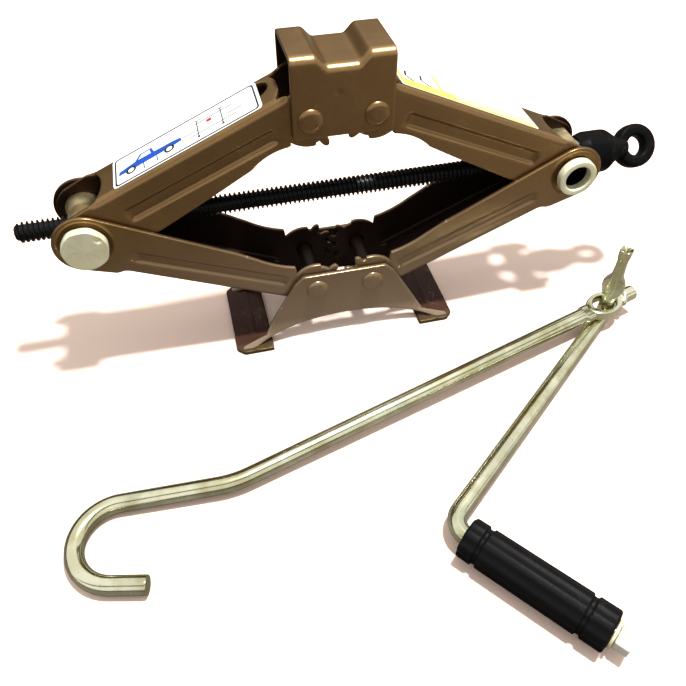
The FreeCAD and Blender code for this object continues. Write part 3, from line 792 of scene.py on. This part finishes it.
tube_r = 8.7 * mm
collar_r = (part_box("bearing_collar")[1].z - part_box("bearing_collar")[0].z) / 2
ring = [(0, tube_r), (head_thick, tube_r), (head_thick, collar_r), (0, collar_r), (0, tube_r)]
ring_centre = (pivot["bearing_pivot"][0], head_back, pivot["nut_pivot"][2])
ring = turned("bearing_collar_ring", rounded(ring, 1.1 * mm), ring_centre, (0, -1, 0), turned_zinc, 96)
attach(ring, "bearing_trunnion")
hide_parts("bearing_collar")


def greasy_zinc():
    """The bars' own zinc, browner than the discs, and near black and not metallic inside the tube's bore.
    """
    made, tree, shader, place = material("greasy_zinc")
    marks = marks_on(tree, place, 0.010, 0.0009, 0.6)
    centre = (pivot["bearing_pivot"][0], 0, pivot["bearing_pivot"][2])
    off = node(tree, "VectorMath", {0: place, 1: centre}, operation="SUBTRACT").outputs[0]
    off = node(tree, "VectorMath", {0: off, 1: (1, 0, 1)}, operation="MULTIPLY").outputs[0]
    reach = node(tree, "VectorMath", {0: off}, operation="LENGTH").outputs[1]
    depth = node(tree, "SeparateXYZ", {0: place}).outputs[1]
    # the tube's bore is made near black and not metallic
    in_tube = rest_of(tree, ramp(tree, reach, tube_r + 0.05 * mm, tube_r + 0.1 * mm))
    bore = times(tree, in_tube, rest_of(tree, ramp(tree, depth, -10.9 * mm, -10.6 * mm)))
    tone = ramp(tree, marks["Drift"], 0.4, 0.6)
    colour = blend_colour(tree, tone, rgb(0.30, 0.22, 0.10), rgb(0.60, 0.50, 0.28))
    colour = blend_colour(tree, bore, colour, rgb(0.002, 0.002, 0.002))
    feed(tree, shader, {"Base Color": colour, "Metallic": rest_of(tree, bore),
                        "Roughness": scaled(tree, marks["Grain"], 0.25, 0.26), "Specular IOR Level": 0.1})
    bumpy(tree, shader, marks["Grain"], 0.3, 0.00015)
    return made


def refinish(names, finish):
    """Give CAD nodes that stay a finish of their own."""
    for name in names:
        frame["nodes"][name].data.materials.clear()
        frame["nodes"][name].data.materials.append(finish)


refinish(("nut_trunnion", "bearing_trunnion", "nut_retainer", "bearing_retainer"), greasy_zinc())


# ------------------------------------------------------------------ lead screw
# A 12.7 mm rod with a rolled trapezoidal thread of 3 mm pitch and a plain shank at the right,
# oiled and blackened.

def black_oxide(name, gloss):
    """Oiled black steel: near black, with grey worn crests and soft glints of oil."""
    made, tree, shader, place = material(name)
    marks = marks_on(tree, place, 0.012, 0.0008, 0.6)
    colour = blend_colour(tree, marks["Drift"], rgb(0.002, 0.002, 0.002), rgb(0.006, 0.006, 0.006))
    colour = blend_colour(tree, times(tree, marks["Scratch"], 0.3), colour, rgb(0.06, 0.06, 0.06))
    feed(tree, shader, {"Base Color": colour, "Roughness": scaled(tree, marks["Grain"], 0.3, 0.22),
                        "Metallic": 0.0, "Specular IOR Level": gloss})
    bumpy(tree, shader, marks["Grain"], 0.35, 0.0002)
    return made


oxide = black_oxide("black_oxide", 0.16)
dull_oxide = black_oxide("dull_oxide", 0.02)
screw_low, screw_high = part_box("lead_screw")
screw_z = pivot["screw_turn"][2]
crest_r = 6.35 * mm
thread_root_r = 4.75 * mm
pitch = 3.0 * mm
thread_start = screw_low.x
thread_end = pivot["screw_turn"][0] - 14 * mm
rows_in_pitch = 10


def thread():
    """A helical surface: rows run along the helix, and each turn of a row moves on by one pitch.

    The radius depends only on the place within the pitch, so crests and roots stay sharp. Past
    each end the radius shrinks to nothing, which closes the rod."""
    step = pitch / rows_in_pitch
    rows = np.arange(-rows_in_pitch - 1, int((thread_end - thread_start) / step) + 2)
    t = np.linspace(0, 2 * np.pi, 33)[None, :]
    along = rows[:, None] * step + pitch * t / (2 * np.pi)
    place = (rows[:, None] % rows_in_pitch) / rows_in_pitch + 0 * t
    crest = np.clip(1.9 - 7.0 * np.abs(place - 0.5), 0, 1)
    r = thread_root_r + (crest_r - thread_root_r) * crest
    from_end = np.minimum(along, thread_end - thread_start - along)
    r = np.minimum(r, thread_root_r * 0.8 + from_end * 0.9) * np.clip(from_end / (0.02 * mm), 0, 1)
    x = np.clip(thread_start + along, thread_start, thread_end)
    points = np.stack([x, r * np.cos(t), screw_z + r * np.sin(t)], axis=-1)
    wrap = np.stack([r * np.cos(t), r * np.sin(t), x], axis=-1)
    return skin("screw_thread", points, oxide, wrap, sharp=50)


shank_r = 6.3 * mm
shank_from = thread_end - 0.5 * mm
shank = [(shank_from, 0), (shank_from, shank_r), (screw_high.x, shank_r), (screw_high.x, 0)]
shank = turned("shank", rounded(shank, 0.5 * mm), (0, 0, screw_z), (1, 0, 0), oxide)
screw = join(thread(), shank)
screw.name = "screw_thread"
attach(screw, "lead_screw")
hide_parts("lead_screw")


# ------------------------------------------------------------------ thrust cup and drive eye
# A black cup covers the thrust bearing. The screw ends in a forged barrel, a short neck and a
# thick ring whose hole takes the hook of the handle.

cup_low, cup_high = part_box("bearing_cup")
cup_r = (cup_high.z - cup_low.z) / 2
cup = [(cup_low.x, 11.4 * mm), (cup_low.x, 12.2 * mm), (173.2 * mm, 13.9 * mm), (175.2 * mm, cup_r),
       (cup_high.x, cup_r), (cup_high.x, 11.4 * mm), (cup_low.x, 11.4 * mm)]
cup = turned("bearing_cup_shell", rounded(cup, 0.7 * mm), (0, 0, screw_z), (1, 0, 0), dull_oxide, 96)
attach(cup, "lead_screw")
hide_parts("bearing_cup")

eye_low, eye_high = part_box("drive_eye")
ring_r = 15 * mm
ring_x = eye_high.x - ring_r
hole_r = 6.5 * mm
eye_thick = 11 * mm
eye_tilt = np.radians(38)
step_x = cup_high.x - 0.2 * mm
neck = [(190.5, 14.2), (193.5, 13.2), (196.5, 12.3), (199, 12.0), (202, 11.6), (205, 10.4), (207.2, 0)]
barrel = [(eye_low.x, 6.4), (eye_low.x, 11.3), (step_x, 11.3), (step_x, 14.5)]
barrel = [(s, r * mm) for s, r in barrel + [(s * mm, r) for s, r in neck]]


def flattened(s, r, t):
    """The neck narrows along the hole's axis until it is as thick as the ring."""
    towards_axis = np.abs(np.cos(t - neck_turn)) ** 2
    flat = smooth_step(s, 190 * mm, 203 * mm)
    return s, r * (1 - 0.5 * flat * towards_axis)


neck_turn = np.pi / 2 - eye_tilt
barrel = turned("barrel", rounded(barrel, 1.6 * mm), (0, 0, screw_z), (1, 0, 0), dull_oxide, 96,
                shape=flattened)


def forged_ring(name, centre, axes, radii, halves, powers, steps, material):
    """A ring round its third axis, whose section is a rounded oblong.

    A point is at turn a round the hole and b round the section. radii are the section's middle
    line along the first two axes, and halves its half sizes along all three. Its sides follow
    the cosine and sine of b to the two powers."""
    a, b = np.meshgrid(np.linspace(0, 2 * np.pi, 97), np.linspace(0, 2 * np.pi, steps), indexing="ij")
    across, upward = squarish(np.cos(b), powers[0]), squarish(np.sin(b), powers[1])
    parts = [(radii[0] + halves[0] * across) * np.cos(a), (radii[1] + halves[1] * across) * np.sin(a),
             halves[2] * upward]
    points = centre + sum(part[..., None] * axis for part, axis in zip(parts, axes))
    return skin(name, points, material, np.stack(parts, axis=-1))


hole_axis = np.array([0, -np.cos(eye_tilt), np.sin(eye_tilt)])
eye_axes = (np.array([1.0, 0, 0]), np.cross(hole_axis, (1.0, 0, 0)), hole_axis)
eye_middle, eye_half = (ring_r + hole_r) / 2, (ring_r - hole_r) / 2
ring = forged_ring("eye_ring", np.array([ring_x, 0, screw_z]), eye_axes, (eye_middle, eye_middle),
                   (eye_half, eye_half, eye_thick / 2), (0.62, 0.62), 41, dull_oxide)
drive = join(ring, barrel)
drive.name = "drive_eye_forging"
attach(drive, "lead_screw")
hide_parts("drive_eye")


def bearing_steel():
    """Ground bearing steel, bright under a thin film of grease."""
    made, tree, shader, place = material("bearing_steel")
    marks = marks_on(tree, place, 0.006, 0.0005, 0.8)
    colour = blend_colour(tree, marks["Drift"], rgb(0.40, 0.38, 0.34), rgb(0.58, 0.58, 0.58))
    feed(tree, shader, {"Base Color": colour, "Metallic": 1.0,
                        "Roughness": scaled(tree, marks["Grain"], 0.2, 0.15)})
    return made


refinish(("thrust_race_fixed", "thrust_race_turning", "thrust_balls"), bearing_steel())


# ------------------------------------------------------------------ labels
# A printed film on the web of each upper arm. The left one has a black border, a plain drawing
# of a pickup on two stands and a plan of its underside. The right one has a yellow band.

def printed(name, colour):
    """Glossy printed film, faintly soiled."""
    made, tree, shader, place = material(name)
    marks = marks_on(tree, place, 0.02, 0.001, 0.3)
    soiled = tuple(0.84 * part for part in colour[:3]) + (1.0,)
    feed(tree, shader, {"Base Color": blend_colour(tree, marks["Drift"], colour, soiled),
                        "Roughness": scaled(tree, marks["Grain"], 0.15, 0.22)})
    bumpy(tree, shader, marks["Drift"], 0.2, 0.0002)
    return made


film = {"white": printed("film_white", rgb(0.76, 0.76, 0.74)),
        "black": printed("film_black", rgb(0.012, 0.012, 0.014)),
        "blue": printed("film_blue", rgb(0.008, 0.06, 0.34)),
        "red": printed("film_red", rgb(0.45, 0.015, 0.012)),
        "grey": printed("film_grey", rgb(0.09, 0.09, 0.095)),
        "wash": printed("film_wash", rgb(0.82, 0.70, 0.36)),
        "yellow": printed("film_yellow", rgb(0.74, 0.55, 0.12))}
film_z = -18 * mm


def on_web(hub, axes, name, shape, ink, low, high):
    """A flat shape on an upper arm's web, from one height over it to another."""
    flat = np.array(shape, float) * mm
    count = len(flat)
    x, y = np.tile(flat[:, 0], 2), np.tile(flat[:, 1], 2)
    z = film_z - np.repeat([low, high], count) * mm
    below, above = list(range(count)), list(range(2 * count - 1, count - 1, -1))
    walls = [[i, (i + 1) % count, count + (i + 1) % count, count + i] for i in range(count)]
    return piece(name, set_on(hub, axes, x, y, z), [below, above] + walls, film[ink], sharp=30)


def rounded_box(x0, x1, y0, y1, radius):
    """A rectangle with quarter circles at its corners."""
    turns = np.radians(np.linspace(0, 90, 7))
    corners = [(x1 - radius, y1 - radius, 0), (x0 + radius, y1 - radius, 90),
               (x0 + radius, y0 + radius, 180), (x1 - radius, y0 + radius, 270)]
    return [(cx + radius * np.cos(t + np.radians(turn)), cy + radius * np.sin(t + np.radians(turn)))
            for cx, cy, turn in corners for t in turns]


def stroke(points, width):
    """A polyline given width: its two sides are set off square to each stretch."""
    line = np.array(points, float)
    along = unit_rows(np.gradient(line, axis=0))
    off = np.column_stack([-along[:, 1], along[:, 0]]) * width / 2
    return list(map(tuple, line + off)) + list(map(tuple, (line - off)[::-1]))


def circle(x, y, radius, count=24):
    """Points evenly round a circle."""
    turns = np.linspace(0, 2 * np.pi, count, endpoint=False)
    return [(x + radius * np.cos(t), y + radius * np.sin(t)) for t in turns]


def label(word, facing, shapes):
    """Lay a label's shapes on its arm, each a hair above the last so that none lie in one plane."""
    hub = np.array([facing * pin_x, 0, saddle_pin_z])
    eye = pivot["nut_pivot"] * (-facing, 1, 1)
    axes = along_arm(hub, eye)
    for count, (ink, level, shape) in enumerate(shapes):
        low = 0.01 + 0.03 * level
        one = on_web(hub, axes, "label_%s_%02d" % (word, count), shape, ink, low, low + 0.12)
        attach(one, "upper_arm_" + word)
    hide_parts("label_" + word)


# x runs from the saddle towards the trunnion, and y across the web, up on the print being +y
left_film = rounded_box(19.5, 118, -15.2, 15.2, 3)
pickup = [(116 - x, y) for x, y in
          [(2, -4.5), (2.5, -1.0), (9, 0.6), (13.5, 1.4), (17, 6.6), (25, 6.8), (26.5, 1.4), (40, 1.0),
           (44.5, 0.2), (45, -3.2), (38, -4.0), (14, -4.6)]]
window = [(116 - x, y) for x, y in [(15.5, 1.6), (18.2, 5.4), (23.6, 5.6), (24.4, 1.5)]]
left_shapes = [("white", 0, left_film),
               ("black", 1, rounded_box(21.3, 116.6, -14.1, 14.1, 2.6)),
               ("white", 2, rounded_box(22.4, 115.5, -12.8, 12.8, 2.0)),
               ("blue", 3, pickup), ("white", 4, window)]
for x in (105.5, 79.5):
    left_shapes += [("black", 4, circle(x, -4.8, 3.4)), ("white", 5, circle(x, -4.8, 2.0))]
for x in (97, 88):
    left_shapes.append(("blue", 3, stroke([(x, -4.6), (x - 0.4, -10.5)], 0.7)))
plan = [[(66, -6), (34, -6)], [(62, 5), (36, 5)], [(60, -9), (60, 8)], [(44, -9), (44, 8)],
        [(70, -2), (60, -2)], [(40, -2), (31, -2)], [(62, 8), (57, 8)], [(46, 8), (42, 8)]]
left_shapes += [("grey", 3 + k % 2, stroke(line, 0.8)) for k, line in enumerate(plan)]
left_shapes += [("red", 5, rounded_box(50.5, 53.8, 0.6, 3.6, 0.8)), ("black", 5, circle(60, -9.4, 0.9)),
                ("black", 5, circle(44, -9.4, 0.9))]
label("left", -1, left_shapes)

right_shapes = [("white", 0, rounded_box(10, 112, -15.4, 15.4, 2)),
                ("wash", 1, rounded_box(11, 111, 3.5, 15.2, 2)),
                ("yellow", 2, rounded_box(11, 50, 6.5, 15.0, 2)),
                ("yellow", 2, stroke([(51, 13.6), (110, 14.0)], 2.0)),
                ("yellow", 2, stroke([(12.5, 7), (12.5, -15)], 2.4)),
                ("yellow", 2, stroke([(41, 7), (41, -15)], 2.4)),
                ("black", 3, stroke([(21, 6), (17, 0), (19, -7)], 1.4)),
                ("black", 3, stroke([(33, 6), (28, 0), (30, -7)], 1.4))]
right_shapes += [("grey", 2, stroke([(48, y), (106 - 6 * (k % 3), y)], 0.5))
                 for k, y in enumerate(range(-12, 3, 3))]
label("right", 1, right_shapes)


# ------------------------------------------------------------------ hook rod
# The long half of the handle: an 11 mm drawn rod with a hook at one end, a long gentle bend, and
# an eye hammered flat near the other end, with a short stub left beyond it.

drawn_zinc = zinc("drawn_zinc", rgb(0.56, 0.54, 0.32), rgb(0.84, 0.84, 0.62), 0.16, (420, 420, 26))
bright_zinc = zinc("bright_zinc", rgb(0.90, 0.90, 0.80), rgb(0.98, 0.98, 0.92), 0.36, (160, 160, 900), 0.6)
rod_r = 5.5 * mm
hook_centre = np.array([-164, -165]) * mm
hook_r = 25 * mm
hook_tip = np.array([-150, -194]) * mm
hook_kink = np.array([-96.8, -143.5]) * mm
kink_r = 60 * mm
rod_eye = np.array([185.8, -63.8, 16.0]) * mm
rod_stub = 25 * mm


def tangent_point(centre, radius, outside, side):
    """Where a line from an outside point touches a circle, on one side or the other."""
    way = outside - centre
    spread = side * np.arccos(radius / np.linalg.norm(way))
    turn = np.arctan2(way[1], way[0]) + spread
    return centre + radius * np.array([np.cos(turn), np.sin(turn)]), turn


def rounded_route(points, radii, spacing=2.0 * mm):
    """Points along straight runs joined by tangent arcs, one arc for each inner corner."""
    points = [np.array(p, float) for p in points]
    route = [points[0]]
    for before, corner, after, radius in zip(points[:-2], points[1:-1], points[2:], radii):
        back, forth = unit(before - corner), unit(after - corner)
        half = np.arccos(np.clip(back @ forth, -1, 1)) / 2
        middle = corner + unit(back + forth) * radius / np.sin(half)
        first = corner + back * radius / np.tan(half) - middle
        last = corner + forth * radius / np.tan(half) - middle
        swept = np.pi - 2 * half
        count = max(int(swept * radius / spacing), 4)
        k = np.linspace(0, 1, count)[:, None]
        arc = (np.sin((1 - k) * swept) * first + np.sin(k * swept) * last) / np.sin(swept)
        route += list(middle + arc)
    return np.array(route + [points[-1]])


def carried(name, route, level, section, edge=0.9 * mm, crown=None):
    """A rod's surface: a rounded section carried along a route, with a rounded edge at both ends.

    section(at, whole) gives the half width, the half height and the squareness (1 is round) at a
    distance along the route. The width lies square to both the route and `level`."""
    run = np.concatenate([[0], np.cumsum(np.linalg.norm(np.diff(route, axis=0), axis=1))])
    ends = np.array([0.0, 0.001, 0.15, 0.35, 0.6, 1.0]) * edge
    middle = np.linspace(1.6 * edge, run[-1] - 1.6 * edge, int(run[-1] / (1.2 * mm)))
    at = np.concatenate([ends, middle, run[-1] - ends[::-1]])
    line = np.column_stack([np.interp(at, run, part) for part in route.T])
    ahead = unit_rows(np.gradient(line, at, axis=0))
    across = unit_rows(np.cross(ahead, level))
    up = np.cross(across, ahead)
    half_across, half_up, square = section(at, run[-1])
    from_end = np.minimum(at, run[-1] - at)
    left = 1 - np.clip(from_end / edge, 0, 1)
    shrink = np.where(from_end <= 0, 0, 1 - edge / rod_r * (1 - np.sqrt(1 - left ** 2)))
    t = np.linspace(0, 2 * np.pi, 57)[None, :]
    c = squarish(np.cos(t), square[:, None]) * (half_across * shrink)[:, None]
    s = squarish(np.sin(t), square[:, None]) * (half_up * shrink)[:, None]
    points = line[:, None, :] + c[..., None] * across[:, None, :] + s[..., None] * up[:, None, :]
    if crown:
        points = points + crown(at[:, None] + 0 * t, c, s)[..., None] * ahead[:, None, :]
    wrap = np.stack([rod_r * np.cos(t) + 0 * c, rod_r * np.sin(t) + 0 * c, at[:, None] + 0 * c], axis=-1)
    return skin(name, points, drawn_zinc, wrap)


low_turn = tangent_point(hook_centre, hook_r, hook_tip, -1)[1]
high_touch, high_turn = tangent_point(hook_centre, hook_r, hook_kink, 1)
turns = np.linspace(low_turn + 2 * np.pi, high_turn, 90)
hook = hook_centre + hook_r * np.column_stack([np.cos(turns), np.sin(turns)])
way = unit(rod_eye[:2] - hook_kink)
bent = rounded_route([high_touch, hook_kink, rod_eye[:2] - way * 15.0 * mm], [kink_r])
far_side = hook_centre - way * hook_r
slope = (rod_eye[2] - rod_r) / ((rod_eye[:2] - far_side) @ way)


def on_slope(flat):
    """Stand a flat route on the floor at the hook and on the crank's elbow at the eye."""
    return np.column_stack([flat, rod_r + slope * ((flat - far_side) @ way)])


def forged(at, whole):
    """The rod is hammered flat and a little wider over its last 7 mm, below a steep shoulder."""
    flat = smooth_step(at, whole - 8.0 * mm, whole - 6.4 * mm)
    return rod_r * (1 + 0.25 * flat), rod_r * (1 - 0.40 * flat), 1 - 0.35 * flat


def stub_forged(at, whole):
    """The stub is flat over its first 2 mm, and round from 5 mm on."""
    flat = 1 - smooth_step(at, 2.0 * mm, 5.0 * mm)
    return rod_r * (1 + 0.3 * flat), rod_r * (1 - 0.42 * flat), 1 - 0.3 * flat


rod_up = unit(np.array([-way[0] * slope, -way[1] * slope, 1.0]))
long_part = carried("hook_rod_body", on_slope(np.concatenate([[hook_tip], hook, bent[1:]])), rod_up, forged)
stub = on_slope(np.array([rod_eye[:2] + way * k for k in np.linspace(10.5 * mm, rod_stub, 9)]))
stub = carried("hook_rod_stub", stub, rod_up, stub_forged)


long_way = unit(np.array([way[0], way[1], slope]))
oval_axes = (long_way, np.cross(rod_up, long_way), rod_up)
eye_ring = forged_ring("hook_rod_eye", rod_eye - long_way * 2.5 * mm, oval_axes, (12 * mm, 8.85 * mm),
                       (3 * mm, 1.75 * mm, 3.6 * mm), (0.6, 0.5), 33, drawn_zinc)
hook_rod = join(long_part, stub, eye_ring)
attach(hook_rod, "hook_rod")
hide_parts("hook_rod")


# ------------------------------------------------------------------ crank rod
# The short half of the handle is bent from one rod: an upright pin whose wings keep it in the
# eye, the leg, and the spindle of the grip.

elbow = pivot["crank_fold"]
corner = pivot["grip_spin"]
spindle = axis_of["grip_spin"]
pin_way = axis_of["crank_fold"]
leg = unit(corner - elbow)
pin_height = 60.0 * mm
spindle_end = 98.5 * mm

# height over the elbow, half width across the leg, half thickness, squareness
pin_shape = np.array([(0, 5.5, 5.5, 1.0), (10, 5.5, 5.5, 1.0), (15, 4.7, 4.7, 1.0), (18, 4.9, 4.4, 0.95),
                      (22, 6.6, 3.9, 0.8), (27, 8.0, 3.7, 0.72), (31, 7.8, 3.7, 0.7), (34.5, 6.4, 3.8, 0.7),
                      (36, 4.9, 3.9, 0.6), (37, 4.1, 3.7, 0.5), (44, 3.6, 3.5, 0.5), (52, 3.4, 3.4, 0.5),
                      (53, 4.0, 4.0, 0.45), (60, 4.2, 4.2, 0.45)])


def winged(at, whole):
    """The pin's section at its height, and a plain round rod past the elbow."""
    h = np.clip(pin_height - at, 0, pin_height) / mm
    wide, thick, square = [np.interp(h, pin_shape[:, 0], column) for column in pin_shape.T[1:]]
    return thick * mm, wide * mm, square


def crown(at, c, s):
    """Two crossed grooves stamped in the pin's top, fading out 2.5 mm below it."""
    near = np.clip(1 - at / (2.5 * mm), 0, 1)
    slot = np.exp(-(c / (0.9 * mm)) ** 4) + 0.7 * np.exp(-(s / (0.9 * mm)) ** 4)
    return near * 1.6 * mm * slot


level = pin_way + np.cross(pin_way, leg)
route = rounded_route([elbow + pin_way * pin_height, elbow, corner, corner + spindle * spindle_end],
                      [9 * mm, 12 * mm], spacing=0.8 * mm)
crank = carried("crank_rod_body", route, level / np.sqrt(2), winged, edge=0.7 * mm, crown=crown)
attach(crank, "crank")
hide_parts("crank_rod")


# ------------------------------------------------------------------ grip
# A moulded sleeve of black plastic that turns on the spindle. Eight broad flutes run its whole
# length, and a groove near each end sets off a collar.

def black_plastic():
    """Fine-textured black plastic with a soft sheen on its ridges."""
    made, tree, shader, place = material("black_plastic")
    marks = marks_on(tree, place, 0.02, 0.0012, 0.5)
    colour = blend_colour(tree, marks["Drift"], rgb(0.0030, 0.0030, 0.0034), rgb(0.0062, 0.0060, 0.0062))
    colour = blend_colour(tree, times(tree, marks["Scratch"], 0.25), colour, rgb(0.06, 0.06, 0.06))
    feed(tree, shader, {"Base Color": colour, "Roughness": scaled(tree, marks["Grain"], 0.2, 0.34),
                        "Specular IOR Level": 0.045})
    bumpy(tree, shader, marks["Grain"], 0.3, 0.0002)
    return made


grip_r = 12 * mm
grip_from = 11 * mm
grip_to = 96 * mm


def fluted(s, r, t):
    """Broad hollows round the sleeve, worked only into its outer surface and its end faces."""
    outer = smooth_step(r, 7.5 * mm, 10.5 * mm)
    hollow = np.clip(np.cos(8 * t + 0.5), -0.35, 1)
    return s, r - outer * 0.75 * mm * (hollow + 0.35) / 1.35


grooves = [grip_from + 10.4 * mm, grip_to - 13.8 * mm]
outside = [(grip_from, 5.65 * mm), (grip_from, grip_r)]
for middle in grooves:
    outside += [(middle - 1.5 * mm, grip_r), (middle - 1.1 * mm, grip_r - 1.3 * mm),
                (middle + 1.1 * mm, grip_r - 1.3 * mm), (middle + 1.5 * mm, grip_r)]
outside += [(grip_to, grip_r), (grip_to, 5.65 * mm), (grip_from, 5.65 * mm)]
sleeve = turned("grip_sleeve", rounded(outside, 1.6 * mm, 6), corner, spindle, black_plastic(), 144,
                shape=fluted)
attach(sleeve, "grip")
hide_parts("grip")


# ------------------------------------------------------------------ retaining head and washer
# The spindle ends in a six-sided head formed cold, with soft corners. A washer sits inside it.

def hexagonal(s, r, t):
    """The radius of a six-sided bar with rounded corners, at each turn."""
    turn = (t + np.pi / 6) % (np.pi / 3) - np.pi / 6
    flat = 6.0 * mm / np.cos(turn)
    corner_r = 6.75 * mm
    side = np.minimum(flat, corner_r)
    return s, r / (6.75 * mm) * side


head = [(spindle_end, 0), (spindle_end, 6.75 * mm), (spindle_end + 8 * mm, 6.75 * mm),
        (spindle_end + 8 * mm, 5.2 * mm), (spindle_end + 8 * mm, 0)]
head = turned("hex_head", rounded(head, 1.0 * mm), corner, spindle, bright_zinc, 96, shape=hexagonal)
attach(head, "crank")
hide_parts("grip_retaining_head")

washer = [(grip_to + 0.4 * mm, 5.5 * mm), (grip_to + 0.4 * mm, 8 * mm), (grip_to + 1.9 * mm, 8 * mm),
          (grip_to + 1.9 * mm, 5.5 * mm), (grip_to + 0.4 * mm, 5.5 * mm)]
washer = turned("grip_washer_ring", rounded(washer, 0.25 * mm), corner, spindle, turned_zinc)
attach(washer, "crank")
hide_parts("grip_washer")


# ------------------------------------------------------------------ floor and light
# White paper under one round lamp, which hangs high over the right end of the jack in a pale room
# whose walls are dark near the floor.

def floor_paper():
    """White paper to the eye. What it throws back on the pieces is painted bounce light: it fades away from
    the jack and grows brighter towards the right.
    """
    made, tree, shader, place = material("floor_paper")
    away = node(tree, "VectorMath", {0: place}, operation="LENGTH").outputs[1]
    fade = ramp(tree, away, 0.05, 0.24)
    thrown = blend_colour(tree, fade, rgb(0.20, 0.18, 0.165), rgb(0.10, 0.088, 0.078))
    sideways = node(tree, "SeparateXYZ", {0: place}).outputs[0]
    thrown = blend_colour(tree, ramp(tree, sideways, 0.0, 0.35), thrown, rgb(0.22, 0.195, 0.17))
    seen = node(tree, "LightPath").outputs["Is Camera Ray"]
    feed(tree, shader, {"Base Color": blend_colour(tree, seen, thrown, rgb(0.92, 0.72, 0.62)),
                        "Roughness": 0.9, "Specular IOR Level": 0.0})
    return made


floor_mesh = bpy.data.meshes.new("floor")
floor_mesh.from_pydata([(-6, -6, 0), (6, -6, 0), (6, 6, 0), (-6, 6, 0)], [], [(0, 1, 2, 3)])
floor_mesh.materials.append(floor_paper())
floor = placed("floor", floor_mesh)

lamp = bpy.data.lights.new("key", "AREA")
lamp.shape = "DISK"
lamp.size = 0.12
lamp.energy = 41
key = placed("key", lamp)
key.location = (0.247, -0.118, 1.47)
key.rotation_euler = (np.arctan(0.118 / 1.47), np.arctan(0.247 / 1.47), 0)


def room():
    """White overhead and in front, dark near the horizon, with a dark gap between two panels."""
    world = bpy.data.worlds.new("room")
    world.use_nodes = True
    tree = world.node_tree
    way = node(tree, "SeparateXYZ", {0: node(tree, "TexCoord").outputs["Generated"]}).outputs
    rise = maths(tree, "ARCTAN2", way[2], times(tree, way[1], -1.0))
    low_front = ramp(tree, rise, 0.12, 0.26)
    low_back = rest_of(tree, ramp(tree, rise, 2.58, 2.76))
    gap = maths(tree, "ABSOLUTE", maths(tree, "SUBTRACT", rise, 1.08))
    light = times(tree, times(tree, low_front, low_back), ramp(tree, gap, 0.06, 0.13))
    colour = blend_colour(tree, light, rgb(0.03, 0.03, 0.03), rgb(1.0, 0.98, 0.95))
    feed(tree, tree.nodes["Background"], {0: colour, 1: 1.0})
    return world


bpy.context.scene.world = room()
bpy.context.scene.view_settings.view_transform = "Standard"
